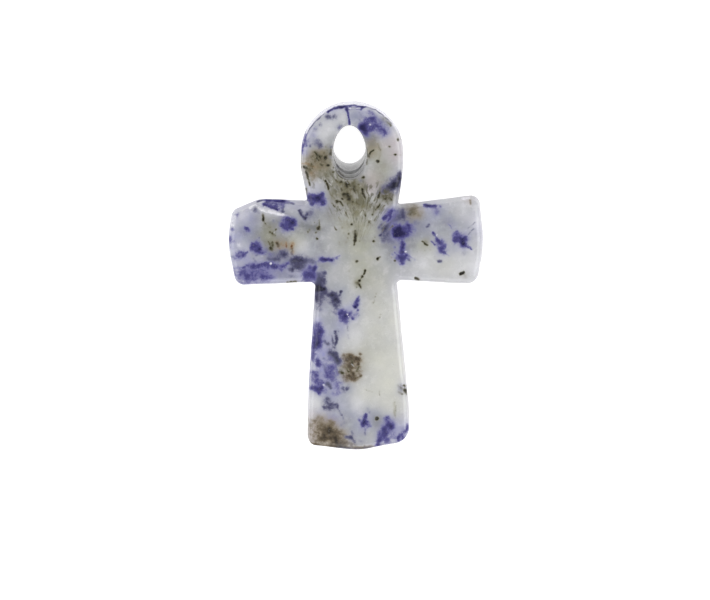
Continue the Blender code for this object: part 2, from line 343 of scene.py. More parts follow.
# Markings of the stone, from the head down. Each is a half width, a strength and then the x, y of a
# spot, or of the stops of a line, read on the front face as the camera sees it.
markings = dict(
    blue=(          # lilac haze, violet, indigo and near-black navy, as the strength grows
        (0.12, 1.25, -2.75, 16.72, -2.2, 16.98, -1.7, 17.14, -1.15, 17.24),
        (0.07, 0.5, -0.6, 17.14, 0.1, 17.1), (0.07, 0.95, -1.15, 17.26, -0.4, 17.3, 0.4, 17.28, 1, 17.2),
        (0.11, 0.9, 0.62, 17.2, 0.56, 16.95), (0.22, 0.38, -4.05, 15.12), (0.22, 0.35, -1.75, 15.07),
        (0.13, 0.95, -0.93, 16.98),
        (0.08, 1.15, -0.97, 17.2, -0.82, 16.7, -0.74, 16.2, -0.68, 15.8, -0.62, 15.4),
        (0.05, 0.5, -0.8, 16.92, 0.5, 16.9), (0.28, 1.25, 0.62, 15.22), (0.25, 0.8, 1, 15.52),
        (0.38, 0.55, 1.35, 15.87), (0.25, 0.34, 1.4, 16.7), (0.33, 0.52, 1.42, 16.27),
        (0.3, 0.57, 1.65, 15.17), (0.36, 0.46, 1.8, 15.87), (0.34, 0.5, 2.05, 15.42),
        (0.3, 0.3, 2.5, 15.57), (0.1, 0.75, -5.25, 13.52, -5.38, 12.52), (0.28, 0.34, -5.1, 13.52),
        (0.1, 0.8, -4.95, 14.37, -5.1, 13.87), (0.2, 0.4, -4.95, 13.3), (0.24, 0.44, -4.85, 13.75),
        (0.35, 0.36, -4.4, 14.1), (0.2, 0.3, -3.95, 13.72), (0.34, 1.35, 0.85, 14.87),
        (0.2, 1.05, 1.05, 14.47), (0.22, 0.76, 1.4, 14.92), (0.38, 0.39, 2.5, 14.97),
        (0.45, 0.35, 2.5, 14.9), (0.32, 0.44, 2.7, 14.64), (0.28, 0.29, 3.1, 14.67),
        (0.35, 0.34, 3.1, 14.6), (0.25, 0.34, -5.05, 12.62), (0.22, 0.72, -9, 7.42, -8.2, 7.2),
        (0.09, 0.81, -9.2, 7.5, -8.5, 7.1, -7.8, 6.85), (0.1, 0.68, -8.9, 7.68, -8, 7.68, -7.2, 7.6),
        (0.14, 0.81, -8.9, 7.8, -8, 7.8, -7.2, 7.72), (0.16, 0.74, -9, 7.9, -7.9, 7.9, -6.9, 7.75),
        (0.25, 0.56, -8.4, 7.4, -7.4, 7.35), (0.16, 0.45, -7.2, 7.3), (0.12, 0.5, -6.9, 7.65, -6.2, 7.6),
        (0.2, 1.05, -4.4, 8.3), (0.2, 1.1, -4.35, 7.45), (0.36, 1.2, -4.15, 7.9, -3.6, 7.95),
        (0.22, 1.1, -3.35, 8.35), (0.2, 1.05, -3.3, 7.55), (0.15, 0.92, 6.9, 7.3, 7.5, 7.22, 8, 7.24),
        (0.12, 0.9, 8.45, 7.22), (0.14, 0.5, -12.35, 5.6), (0.25, 0.4, -11.9, 6.3),
        (0.17, 0.5, -11.85, 6.5), (0.2, 0.54, -7.9, 6.95, -7.5, 6.9), (0.2, 0.94, -7.35, 5.2),
        (0.23, 0.77, -6.9, 5.95), (0.25, 1.1, -6.85, 5.25), (0.41, 0.85, -6.95, 5.5, -6.5, 5.6),
        (0.27, 0.81, -6.25, 5.7), (0.25, 0.5, 3, 6.3), (0.14, 0.95, 2.8, 6.05, 3.3, 6.3, 3.7, 6.8),
        (0.13, 0.8, 3.2, 5.75, 3.55, 6.2), (0.3, 0.55, 3.4, 6.6), (0.35, 0.42, 3.9, 5.4),
        (0.35, 0.4, 3.9, 6.5), (0.16, 0.9, 5.3, 5.35), (0.3, 0.85, 5.45, 5.15),
        (0.3, 0.32, 7.3, 7.05, 8, 6.85), (0.25, 0.36, 8.1, 6.5), (0.07, 0.6, 9.6, 5, 9.2, 5.4),
        (0.25, 0.42, -12.55, 3.8), (0.2, 0.42, -12.5, 4.9), (0.17, 0.6, -12.4, 4.2, -12.55, 3.6),
        (0.22, 0.6, -12.3, 3.8), (0.3, 0.36, -12.3, 3.2), (0.2, 0.6, -12.2, 4.9),
        (0.2, 0.92, -10.9, 5, -10.65, 4.75), (0.15, 0.77, -10.4, 3.5), (0.19, 0.72, -10.4, 3),
        (0.28, 0.89, -10.1, 3.2), (0.19, 0.64, -9.8, 3.6), (0.18, 0.94, -7.05, 5), (0.14, 0.89, -6.35, 4.9),
        (0.13, 0.5, 3.9, 3.1), (0.26, 1.2, 4.25, 5), (0.22, 1.3, 4, 4.3, 4.8, 4.3),
        (0.4, 1.45, 4.1, 4.55, 4.75, 4.6), (0.19, 1.1, 4.7, 3.55, 4.6, 3.1), (0.2, 0.75, 4.7, 4),
        (0.3, 0.6, 5.55, 4.6), (0.22, 0.5, 5.9, 4.9), (0.07, 0.75, 7.55, 3.7, 7.85, 3.35),
        (0.09, 0.84, 7.75, 4.6, 8, 4.2, 8.25, 3.8), (0.28, 0.35, 8.2, 3.6),
        (0.34, 0.84, 8.5, 3.45, 8.65, 3.05), (0.15, 0.62, 8.95, 3.4), (0.22, 0.8, 9.95, 3.75),
        (0.06, 0.5, 10.3, 3.9, 9.7, 3.2), (0.18, 0.65, 10.1, 4.7), (0.36, 0.88, 10.15, 4.15),
        (0.36, 0.95, 10.65, 3.75), (0.2, 1, 10.75, 3.5), (0.24, 0.9, 11, 4),
        (0.07, 0.6, 10.9, 3.3, 11.6, 2.9), (0.1, 0.55, 11.2, 3.3, 11.45, 3.1), (0.2, 0.45, -12.3, 1.4),
        (0.4, 0.4, -11.5, 2.5), (0.25, 0.72, -11.75, 2.15, -11.2, 2.35),
        (0.09, 0.8, -12, 1.05, -11.3, 1.1, -10.7, 1.25), (0.12, 0.7, -11.2, 2.3, -10.9, 2.6),
        (0.3, 0.6, -10.4, 1.15, -9.8, 1.3), (0.16, 0.85, -9.95, 2.75), (0.12, 0.8, -9.8, 2.7, -9.4, 2.5),
        (0.17, 1.02, -9.6, 2.95), (0.2, 0.8, -10.1, 1.2, -9.4, 1.35, -8.8, 1.45),
        (0.3, 0.42, -9.3, 2.5, -8.7, 2.35), (0.22, 0.75, -8.7, 1.15, -7.9, 1.1, -7.1, 1.25),
        (0.3, 0.4, -8.2, 1.3, -7.2, 1.3), (0.12, 0.7, -7, 1.35, -6.7, 1.5),
        (0.25, 0.75, -4.6, 1.1, -4.1, 1), (0.2, 1.2, -4.05, 1.05), (0.16, 1.05, -3.45, 1.9, -2.4, 1.8),
        (0.28, 0.42, -3.6, 1.9, -2, 1.8), (0.09, 0.45, -1.95, 2, -1.6, 2.3), (0.13, 0.5, 3.65, 2.35),
        (0.06, 0.5, 3.9, 2.6, 4.3, 2.3), (0.2, 0.7, 4.6, 1.45), (0.2, 0.95, 4.65, 2.6),
        (0.35, 0.85, 4.65, 2.1), (0.2, 0.8, 5.05, 2.15), (0.08, 0.45, 5.4, 2.2, 5.9, 1.8),
        (0.19, 0.66, 8.75, 2.7), (0.07, 0.5, 8.9, 2.6, 9.3, 2.2), (0.5, 0.47, -11.4, 0.35, -10.9, 0.2),
        (0.28, 0.45, -11.5, 0.9, -10.8, 1), (0.25, 0.58, -11, 0.1, -10.3, 0), (0.8, 0.38, -10.6, 0.4),
        (0.5, 0.48, -10.4, 0.45, -9.9, 0.25), (0.36, 0.43, -9.6, 0.35, -8.9, 0.2),
        (0.22, 0.5, -9.4, 0.8, -8.9, 0.9), (0.6, 0.36, -9, 0.35), (0.22, 0.57, -9.4, 0.2, -8.4, 0.15),
        (0.2, 0.4, -8, 0.25), (0.2, 0.5, -7.4, 0.8), (0.3, 0.8, -4.9, 0.05), (0.45, 0.75, -4.75, 0.3),
        (0.3, 0.88, -4.3, 0.05), (0.3, 0.7, -4.2, 0.6), (0.13, 1.2, -0.05, -2.9),
        (0.17, 1.05, 0.2, -2.1, 0, -2.8), (0.11, 1.15, 0.2, -2.7), (0.12, 0.7, 0.35, -1.9),
        (0.19, 0.58, -1.6, -3.6), (0.22, 0.53, -1.4, -3.3), (0.26, 0.56, -1.3, -4.2),
        (0.43, 0.59, -1.1, -3.8), (0.14, 0.76, -1.05, -3.75), (0.19, 0.59, -0.85, -4.5),
        (0.24, 0.72, -0.55, -3.6), (0.15, 0.66, -0.35, -4.1), (0.45, 0.32, 0, -3.7), (0.1, 0.95, 0.2, -3.2),
        (0.3, 0.97, -3.9, -6.6), (0.34, 0.89, -3.75, -6.2), (0.34, 0.85, -3.8, -4.9, -3.6, -5.2),
        (0.3, 0.89, -3.6, -5.7), (0.24, 0.65, -4.2, -7.6, -4.3, -8.2), (0.3, 0.8, -3.9, -7),
        (0.2, 0.74, -3.8, -8.2, -3.7, -8.7), (0.4, 0.43, -3.4, -8.8), (0.3, 0.5, -2.6, -8.2),
        (0.35, 0.6, -2.4, -9), (0.3, 0.45, -4.1, -9.6), (0.2, 0.77, -4, -9.5, -3.8, -10),
        (0.36, 0.78, -3.8, -10.5, -3.65, -11), (0.17, 0.81, -3.3, -10.5), (0.2, 0.6, -2.9, -9.8),
        (0.3, 0.6, -2.9, -9.7), (0.28, 0.6, -2.35, -9, -2.5, -9.8), (0.3, 0.55, -2.2, -10.2),
        (0.3, 0.45, -1.9, -10.9), (0.3, 0.42, -1.75, -9.5), (0.3, 0.4, -1.5, -10.4),
        (0.23, 0.81, -4.1, -11.1, -3.4, -11.1), (0.17, 0.78, -3.65, -11.6), (0.25, 0.45, -2.9, -11.4),
        (0.28, 0.42, -2.2, -11.6, -1.8, -11.6), (0.14, 0.7, 0.4, -14.3), (0.19, 1.08, 0.65, -14.7),
        (0.24, 0.85, 0.78, -14.5), (0.21, 1.05, 0.9, -14.4), (0.13, 1.25, 1.05, -13.7, 0.95, -14),
        (0.13, 0.6, 1.15, -14.6, 1.4, -14.9), (0.28, 0.7, 3.1, -14.2, 3.2, -14.6), (0.28, 0.83, 3.5, -14.8),
        (0.11, 0.48, 5.15, -14.4), (0.35, 0.36, 1, -15), (0.2, 0.91, 2.4, -16.2, 2.15, -16.75),
        (0.3, 0.83, 2.6, -15.6), (0.24, 0.78, 2.8, -15.9), (0.28, 0.73, 2.9, -15.2),
        (0.28, 0.62, 3.1, -16.2), (0.24, 0.7, 3.1, -15.6), (0.3, 0.32, 3.2, -16.5), (0.4, 0.32, 3.6, -15.7),
        (0.2, 0.7, 3.7, -15), (0.2, 0.55, 3.85, -15.9), (0.18, 0.78, 4.4, -15.7, 4.2, -16.1),
        (0.16, 0.66, 4.6, -16), (0.32, 0.29, 4.6, -15.2),
        (0.11, 0.72, 5, -14.7, 4.92, -15.3, 4.6, -15.75, 4.1, -16.05),
        (0.13, 0.64, 5.2, -15.2, 5, -15.8, 4.5, -16.2),
    ),
    slate=(         # blue-grey, down to charcoal
        (0.06, 0.75, -4.98, 14.25, -4.4, 15.27, -3.92, 15.88, -3.12, 16.5), (0.18, 0.36, -3.6, 15.47),
        (0.16, 0.5, -3.6, 15.35), (0.22, 0.42, -2.85, 16.12, -2.2, 16.17),
        (0.24, 0.36, -2.85, 16.05, -2.2, 16.1), (0.3, 0.34, -2.1, 16.4), (0.2, 0.45, -1.75, 15.07),
        (0.16, 0.5, -1.75, 15, -1.5, 15.3), (0.12, 0.36, 0.35, 16.6), (0.1, 0.34, 0.4, 15.9),
        (0.35, 0.3, 0.55, 16.22), (0.4, 0.34, 2.4, 15.72),
        (0.07, 0.75, 1, 17.2, 2, 16.85, 2.6, 16.45, 3.1, 16, 3.5, 15.55), (0.3, 0.3, 3, 15.32),
        (0.5, 0.25, 3, 15.52), (0.3, 0.25, 3.3, 15.12), (0.16, 0.55, -4.5, 13.3), (0.26, 0.6, -4.05, 13.75),
        (0.18, 0.5, -4, 14.95), (0.36, 0.72, -3.85, 13.45), (0.2, 0.6, -3.5, 13.25),
        (0.13, 0.9, -2.5, 13.12), (0.3, 0.34, -4.95, 12.52), (0.15, 1, -2.5, 12.72),
        (0.28, 0.42, -2.45, 12.12), (0.12, 0.85, -1.8, 11.22), (0.15, 0.6, 0.55, 9.77),
        (0.25, 0.66, 3.6, 9.3, 3, 8.9), (0.28, 0.36, 3.5, 9.8), (0.2, 0.81, 4, 9.6, 3.4, 9.1),
        (0.15, 1.07, 3.95, 9.45, 3.6, 9.2), (0.13, 1, 3.95, 9.25, 3.6, 8.95),
        (0.28, 0.78, 4.1, 9.75, 3.7, 9.35), (0.15, 0.91, 4.05, 9.55, 3.8, 9.4),
        (0.17, 1.1, 4.3, 10.6, 4.2, 10.05), (0.19, 0.61, 4.3, 9.2), (0.12, 0.8, 4.35, 10.5, 4.25, 10.1),
        (0.08, 1.1, -9.9, 7.7, -9.3, 7.84, -8.6, 7.86), (0.06, 0.8, -8.5, 7.84, -6.6, 7.7),
        (0.12, 0.6, -7.2, 7.2, -7.3, 6.8), (0.09, 0.9, -7.2, 7.4, -7.25, 6.65),
        (0.09, 0.85, -7, 7.58, -6.2, 7.5), (0.35, 0.29, -4.4, 7), (0.4, 0.3, -3.6, 7),
        (0.22, 0.85, 3, 8.9, 2.5, 8.6), (0.25, 0.7, 3.1, 8.9, 2.6, 8.6), (0.1, 0.95, 3.5, 8.85, 2.9, 8.5),
        (0.4, 0.34, 3.6, 8.7), (0.1, 0.6, -12.5, 5.1), (0.13, 0.4, -12.25, 6.45), (0.32, 0.41, -10.1, 6.9),
        (0.12, 0.7, -9.65, 6.55), (0.16, 0.65, -8.2, 5.75), (0.12, 1, -7.33, 6.75),
        (0.13, 0.98, -5.6, 6.8, -5.4, 6.35, -5.08, 5.95), (0.11, 0.81, -4.9, 6.4, -5.05, 6),
        (0.45, 0.34, -4.6, 6.5), (0.1, 0.6, 2.3, 5, 2.7, 5.6), (0.35, 0.36, 2.6, 5.1),
        (0.1, 0.7, 2.8, 4.9, 3.5, 5.6), (0.4, 0.46, 3.2, 5.5), (0.4, 0.5, 3.3, 5.1),
        (0.1, 0.65, 3.3, 5.3, 4, 6.1), (0.35, 0.42, 3.7, 5.6), (0.3, 0.5, 3.9, 5.8), (0.35, 0.5, 3.95, 6.1),
        (0.4, 0.5, 4.1, 6.6), (0.1, 0.6, 3.8, 5.6, 4.4, 6.4), (0.4, 0.45, 4.2, 5.9), (0.3, 0.36, 4.5, 6.9),
        (0.3, 0.36, 4.6, 6.1), (0.5, 0.29, 4.6, 6.3), (0.38, 0.45, 4.7, 6.5),
        (0.13, 0.65, 4.6, 6.9, 4.7, 6.4, 4.9, 5.85), (0.33, 0.4, 4.75, 6.6), (0.35, 0.25, 4.9, 6.2),
        (0.3, 0.4, 5.2, 5.4), (0.3, 0.35, 5.2, 5.4), (0.4, 0.36, 5.3, 5.75), (0.35, 0.4, 6.1, 5.6),
        (0.11, 0.65, 7.1, 5.2, 7.35, 5.4), (0.28, 0.4, 8.2, 6.8), (0.07, 0.45, 11.2, 5, 11.9, 5.6),
        (0.5, 0.42, -10.9, 4.7), (0.14, 0.6, -9.6, 4.05), (0.1, 0.7, 2.45, 4.3, 3.1, 5),
        (0.35, 0.42, 2.8, 3.9), (0.45, 0.5, 3.1, 4.6), (0.35, 0.5, 3.3, 4.3),
        (0.1, 0.7, 3.1, 4.3, 3.6, 4.9), (0.45, 0.5, 3.4, 4.35), (0.35, 0.4, 3.6, 3.6),
        (0.11, 1.1, 7.8, 4.42, 7.9, 4.28), (0.07, 0.55, 11.3, 4.4, 11.8, 4.95), (0.13, 0.6, -12.2, 2.2),
        (0.11, 0.75, -10.2, 2, -10, 1.75), (0.12, 0.5, -9.9, 2.3, -9.4, 2.9), (0.25, 0.45, -9, 2.6),
        (0.3, 0.42, -8.6, 2.3), (0.3, 0.5, -8.7, 2.05, -7.9, 1.95),
        (0.22, 0.45, -8.9, 2.9, -8.4, 2.4, -7.6, 2.2), (0.12, 0.85, -8.8, 1.95, -8.3, 1.8, -7.7, 1.85),
        (0.25, 0.45, -8.6, 1.9, -7.6, 1.8), (0.3, 0.4, -8, 1.9), (0.3, 0.4, -7.6, 2.7),
        (0.45, 0.32, -7.2, 2.5), (0.26, 0.74, -7.15, 2.3), (0.3, 0.8, -7.15, 2.3),
        (0.22, 0.75, -6.45, 1.55), (0.19, 0.76, -6.3, 1.6), (0.38, 0.8, -6, 1.3),
        (0.46, 0.84, -5.75, 1.75, -5.4, 1.7), (0.38, 0.8, -5.3, 1.25), (0.28, 0.42, -4.9, 1.5),
        (0.35, 0.6, -4.3, 1.6), (0.18, 0.8, 4.15, 2), (0.14, 0.95, 5.3, 1.8),
        (0.12, 0.8, 8.3, 1.7, 8.5, 1.7), (0.3, 0.34, 10.9, 2.6), (0.1, 0.95, -12.05, 0.8, -11.95, 0.4),
        (0.3, 0.35, -7, 0.3), (0.2, 0.6, -6.6, 0.9), (0.12, 1.05, -6.3, 0.85),
        (0.15, 0.4, -6.6, 0.2, -6, 0.1), (0.3, 0.75, -3.9, 0.35), (0.2, 0.85, -3.65, -0.1, -3.9, -0.5),
        (0.38, 0.8, -3.7, -0.2), (0.22, 0.6, -3.5, 0.3), (0.35, 0.85, -3.5, -0.75),
        (0.22, 0.95, -3.2, -0.2), (0.18, 0.85, -3.15, 0.45), (0.18, 0.74, -3.8, -1.8, -3.8, -2.15),
        (0.13, 1.4, -3.95, -1.35, -3.85, -1, -3.45, -0.92), (0.2, 1, -3.75, -1.15),
        (0.2, 0.45, -3.8, -2.4, -3.6, -3), (0.3, 0.48, -3.7, -2.5), (0.36, 0.85, -3.65, -1.15),
        (0.34, 0.65, -3.45, -1.8), (0.15, 1.35, -3.55, -1.25, -3.15, -1.1), (0.3, 0.6, -3, -1.5),
        (0.14, 0.74, -2.75, -1.7), (0.32, 0.41, -2.6, -2.3), (0.21, 0.75, -2.4, -1.6),
        (0.38, 0.82, -2.15, -1.95), (0.19, 0.57, -2, -2.8), (0.27, 0.94, -1.85, -2.2),
        (0.18, 0.86, -1.75, -2.6), (0.12, 0.6, -1.5, -1.4, -1.65, -1.8), (0.12, 1, -1.45, -1.35),
        (0.12, 0.87, -4.15, -5.1, -4.1, -4.7), (0.13, 0.35, -3.6, -3.8), (0.25, 0.39, -3.6, -3.2),
        (0.14, 0.5, -2.3, -3.3, -1.9, -3.7), (0.28, 0.5, -1.8, -3), (0.12, 0.52, 0.25, -3.75),
        (0.16, 0.92, -3.1, -6.35, -2.8, -6.6), (0.1, 0.75, -2.4, -5.8, -2.3, -6.6),
        (0.14, 0.98, -2, -5.5, -1.9, -6, -2, -6.7), (0.1, 0.5, -1.7, -5.4),
        (0.1, 0.45, -0.8, -4.9, -0.75, -5.25), (0.08, 0.4, -0.8, -5.7, -0.7, -6.1), (0.15, 0.5, -3.2, -8.1),
        (0.28, 0.8, -2.3, -8), (0.2, 0.6, -2.2, -7), (0.28, 0.95, -2.5, -7.5, -2, -8, -1.75, -8.5),
        (0.12, 0.75, -3.2, -8.8, -2.9, -9.6), (0.16, 1.05, -2.85, -10.6, -2.6, -10.8),
        (0.12, 0.7, -2.6, -9.4, -2.3, -10.3), (0.24, 0.8, -2.35, -9, -2.5, -9.8), (0.18, 0.75, -2.2, -9.9),
        (0.1, 0.7, -2, -8.9, -1.7, -9.6), (0.3, 0.35, -0.6, -10.9), (0.14, 0.3, 4.6, -10.8),
        (0.08, 0.4, -4.6, -11, -4.65, -13), (0.25, 0.43, -2.9, -12.4), (0.18, 0.64, -2.8, -12.1),
        (0.48, 0.46, -2.6, -12.75), (0.11, 0.8, -2.5, -11.1), (0.2, 0.68, -2.35, -12.7, -1.9, -12.9),
        (0.14, 0.45, -1.8, -11.1), (0.12, 0.29, -1.8, -12.3), (0.14, 0.7, -1.3, -11.05),
        (0.3, 0.4, -1.2, -11.3), (0.12, 0.65, -0.85, -11.15), (0.25, 0.24, 4.3, -11.5),
        (0.3, 0.27, 4.4, -11), (0.28, 0.31, 4.7, -11.3), (0.1, 0.8, -4.65, -13.5, -4.65, -14.3),
        (0.19, 0.61, -3.1, -13, -2.4, -13.1), (0.09, 0.45, -1.9, -12.9, -1.6, -13.4, -1.45, -13.8),
        (0.09, 0.3, -1.4, -13.8, -1.1, -14.6), (0.4, 0.3, -1.2, -14.8),
        (0.14, 0.55, 1.2, -13.2, 1.4, -13.5), (0.08, 0.6, -4.68, -14.8, -4.72, -16),
        (0.08, 1, -4.6, -14.6, -4.62, -16.2), (0.15, 0.75, -0.9, -16.05, -0.4, -16.1),
        (0.1, 0.5, -0.4, -15.4, -0.3, -15.9), (0.4, 0.34, -0.3, -16), (0.12, 0.6, -0.4, -16.1, -0.1, -16.5),
        (0.4, 0.3, 0.5, -16.4), (0.13, 0.6, 0.85, -15.2, 0.95, -15.7),
        (0.08, 0.95, 2.3, -16.85, 3.3, -16.6, 4, -16.4),
        (0.2, 0.7, -1.8, -17.18, 0, -17.3, 1.8, -17.22, 3.4, -16.95),
        (0.13, 0.75, -1.4, -17.05, 0, -17.16, 1.6, -17.08, 3.2, -16.8),
    ),
    dark=(          # olive specks and threads, near black when strong
        (0.2, 0.45, 2.9, 16), (0.25, 0.42, 3.25, 15.55), (0.12, 0.6, 3.4, 15.3), (0.1, 0.6, -3, 13.22),
        (0.12, 0.78, 3.33, 13.17), (0.12, 1.04, 4.2, 13.92), (0.13, 1.3, -5.2, 11.17),
        (0.18, 1.25, -5, 11.15), (0.4, 0.36, -4.9, 12), (0.1, 0.68, -4.75, 11.77), (0.09, 0.59, -4.5, 12.1),
        (0.1, 0.64, -4.4, 11.47), (0.35, 0.36, -4.4, 11), (0.11, 0.68, -4.3, 12.22),
        (0.45, 0.42, -4.3, 11.6), (0.09, 0.51, -4.2, 11.2), (0.09, 0.68, -4.1, 12.6, -3.9, 12.3),
        (0.1, 0.68, -3.9, 12.67), (0.1, 0.64, -3.9, 12.02), (0.5, 0.42, -3.9, 12.3),
        (0.1, 0.64, -3.7, 11.87), (0.09, 0.68, -3.6, 12.27, -3.4, 11.92),
        (0.08, 0.59, -3.6, 11.5, -3.4, 11.3), (0.1, 0.72, -3.4, 12.27), (0.4, 0.4, -3.4, 11.6),
        (0.09, 0.59, -3.3, 11.37), (0.09, 0.59, -3.2, 12.6), (0.17, 1.15, -3, 12.07),
        (0.35, 0.42, -3, 12.42), (0.09, 0.59, -2.9, 12.87), (0.17, 1.35, -2.78, 11.37),
        (0.1, 0.59, -2.6, 12.62), (0.3, 0.5, -2.6, 12.82), (0.35, 0.36, -2.6, 11.82),
        (0.11, 0.8, -2.5, 12.9, -2.45, 12.4), (0.1, 0.59, -2.3, 12.22), (0.11, 0.59, -2.2, 11.12),
        (0.1, 0.85, 1.05, 11.82, 1.05, 11.42), (0.1, 0.7, 1.1, 11.82),
        (0.11, 0.95, 1.08, 12.97, 1.12, 12.22), (0.15, 0.9, 1.2, 12.17), (0.07, 1, 1.3, 12.42, 1.8, 12.87),
        (0.15, 1.89, 2.18, 11.72), (0.15, 0.36, 2.15, 13.52, 2.55, 12.82, 2.35, 12.02),
        (0.05, 0.46, 3.2, 12.34, 4.5, 12.37), (0.12, 1.17, 3.95, 12.37), (0.3, 0.5, -4.9, 10.9),
        (0.09, 0.81, -5.05, 10.87, -4.8, 10.32, -4.6, 9.82, -4.5, 9.32), (0.09, 0.51, -3.95, 10.32),
        (0.1, 0.51, -3.6, 10.82), (0.1, 0.47, -3.3, 9.92), (0.4, 0.36, -3.3, 10.7),
        (0.09, 0.42, -3.1, 10.22), (0.12, 1.1, -3.05, 9.72), (0.1, 0.51, -2.85, 10.77),
        (0.09, 0.51, -2.9, 10.4, -2.7, 10.2), (0.11, 1.05, -2.88, 9.5, -2.7, 8.9), (0.1, 0.59, -2.6, 10.82),
        (0.1, 0.35, -2.55, 10.32), (0.14, 0.7, -2.2, 10.72), (0.33, 0.2, -2.2, 9.2),
        (0.08, 0.5, -2.2, 10, -1.9, 9.6), (0.33, 0.23, -2, 9.82),
        (0.08, 0.7, -1.95, 10.9, -1.7, 10.35, -1.35, 9.95), (0.1, 1, -1.7, 10.72, -1.35, 10.12),
        (0.15, 0.8, -1.45, 9.62), (0.4, 0.4, -1.45, 9.52), (0.07, 0.9, -1.35, 10.22, -1, 9.82, -0.6, 9.32),
        (0.1, 0.8, -1, 9.5, -0.8, 9.1), (0.45, 0.45, -0.75, 9.2), (0.6, 0.36, -0.4, 9.1),
        (0.35, 0.32, -0.2, 9.62), (0.4, 0.4, -0.1, 9.1), (0.1, 0.7, 0.3, 9.4), (0.3, 0.32, 0.6, 9.52),
        (0.16, 0.95, 0.75, 10.12), (0.1, 0.95, -4.78, 9, -4.72, 8.2), (0.14, 1.1, -4.72, 7.85),
        (0.1, 0.5, -2.7, 8), (0.09, 0.8, -2.6, 8.7, -2.35, 8.3, -2.1, 8.05),
        (0.08, 0.55, -2.4, 7.6, -2.1, 7.2), (0.17, 1, -1.88, 7.7), (0.08, 0.6, -1.8, 7.2, -1.5, 6.8),
        (0.08, 0.85, -1.6, 7.7, -1.25, 7.3), (0.1, 0.6, -1.5, 9.1, -1.35, 8.8), (0.1, 0.95, -1.3, 8),
        (0.17, 1.1, -1.2, 8.4), (0.45, 0.34, -1.2, 8.2), (0.45, 0.48, -1.1, 8.7), (0.2, 0.7, -0.85, 8.3),
        (0.1, 0.75, -0.9, 8.7, -0.75, 8.3), (0.17, 1.25, -0.68, 7.9), (0.35, 0.4, -0.5, 8.3),
        (0.3, 0.26, -0.4, 7.2), (0.13, 0.8, -0.35, 7.65), (0.1, 0.7, -0.2, 8.9, 0, 8.5),
        (0.09, 0.6, 0, 7.9, 0.05, 7.5), (0.5, 0.3, 0.1, 7.6), (0.35, 0.29, 0.3, 7.9),
        (0.14, 0.45, 0.35, 7.3), (0.35, 0.36, 0.35, 8.7), (0.5, 0.34, 0.5, 8.5),
        (0.14, 1.25, 0.7, 8.9, 0.72, 8.5), (0.11, 0.8, 0.78, 8.4, 0.95, 7.9),
        (0.06, 0.5, 1.4, 7.4, 1.1, 6.7), (0.08, 0.6, 1.2, 8.6, 1.35, 8.2), (0.09, 0.6, 2, 8.2, 1.8, 7.7),
        (0.12, 0.9, 2.45, 8.9, 2.25, 8.05), (0.3, 0.46, 2.7, 8.1), (0.08, 0.6, 2.9, 7.3, 2.6, 6.8),
        (0.4, 0.42, 2.9, 8.1), (0.13, 0.75, 3, 7.9), (0.3, 0.28, 3, 8.75), (0.4, 0.5, 3.1, 8.45),
        (0.35, 0.36, 3.3, 7.6), (0.3, 0.5, 3.5, 8.2), (0.13, 0.8, 3.55, 7.9),
        (0.1, 1.15, -9.25, 6.5, -9.2, 5.95), (0.12, 1.45, -9.2, 5.85), (0.06, 0.7, -9.15, 5.7, -9, 5.4),
        (0.35, 0.3, -9, 5.2), (0.2, 0.5, -8.6, 5.1), (0.08, 0.5, -4.4, 5.3), (0.08, 0.55, -4.1, 5.6),
        (0.12, 1.1, -3.65, 5.15), (0.08, 0.6, -3.65, 5.8, -3.6, 5.35), (0.07, 0.5, -3.2, 6.3),
        (0.07, 0.5, -2.6, 5.9), (0.12, 0.36, -2.1, 5.95), (0.07, 0.55, -1.7, 6.1, -1.4, 5.6),
        (0.06, 0.5, -1, 6.6, -0.7, 6), (0.12, 1.35, -0.45, 5.4), (0.06, 0.55, -0.3, 7, -0.1, 6.3),
        (0.3, 0.35, -0.1, 5.6), (0.14, 0.45, 0.35, 6.5), (0.06, 0.5, 0.6, 7.2, 0.45, 6.6),
        (0.1, 0.55, 0.7, 6.85, 1, 6.2), (0.1, 0.4, 1.1, 6, 1.55, 5.4), (0.07, 0.5, 1.5, 5.9, 1.2, 5.2),
        (0.11, 1, 1.68, 6.38), (0.06, 0.5, 2.1, 6.2, 1.9, 5.7), (0.11, 0.85, 2.4, 7.4, 2.1, 7, 1.75, 6.55),
        (0.08, 0.6, 2.6, 5.2, 3, 5.7), (0.07, 0.6, 3.4, 4.9, 3.7, 5.3), (0.2, 0.4, 5.35, 6.3),
        (0.3, 0.33, 5.4, 6.4), (0.5, 0.28, 5.5, 6.8), (0.35, 0.25, 5.6, 5.9), (0.3, 0.22, 5.7, 6.9),
        (0.3, 0.26, 5.9, 6.5), (0.35, 0.26, 6.2, 6.7), (0.1, 0.42, 9.4, 6.6),
        (0.1, 0.7, -8.75, 3.7, -8.65, 3.3), (0.12, 0.6, -8.6, 3), (0.14, 0.6, -8.6, 4.6),
        (0.35, 0.5, -8.5, 3.4), (0.13, 0.7, -8.35, 4.5), (0.12, 0.8, -8.35, 3.6), (0.13, 1, -8.3, 3.3),
        (0.25, 0.42, -8.2, 4.4), (0.1, 0.85, -8.05, 4.85), (0.1, 0.55, -8, 4.25), (0.12, 0.8, -4.8, 4.65),
        (0.1, 0.62, -4.6, 4.85), (0.1, 0.9, -3.95, 4.6), (0.12, 1.1, -3.87, 4), (0.15, 1.4, -3.75, 4.95),
        (0.07, 0.5, -2.1, 5.2, -1.9, 4.8), (0.11, 0.34, -1.8, 3), (0.12, 0.32, -1.65, 3.6),
        (0.08, 0.45, -1.6, 3.4), (0.17, 0.36, -1.35, 5), (0.08, 0.5, -1.2, 4.5), (0.14, 0.36, -0.9, 3.6),
        (0.12, 0.52, -0.8, 4.05), (0.12, 0.6, -0.7, 4.4), (0.09, 0.9, -0.12, 3.7, -0.18, 3.3),
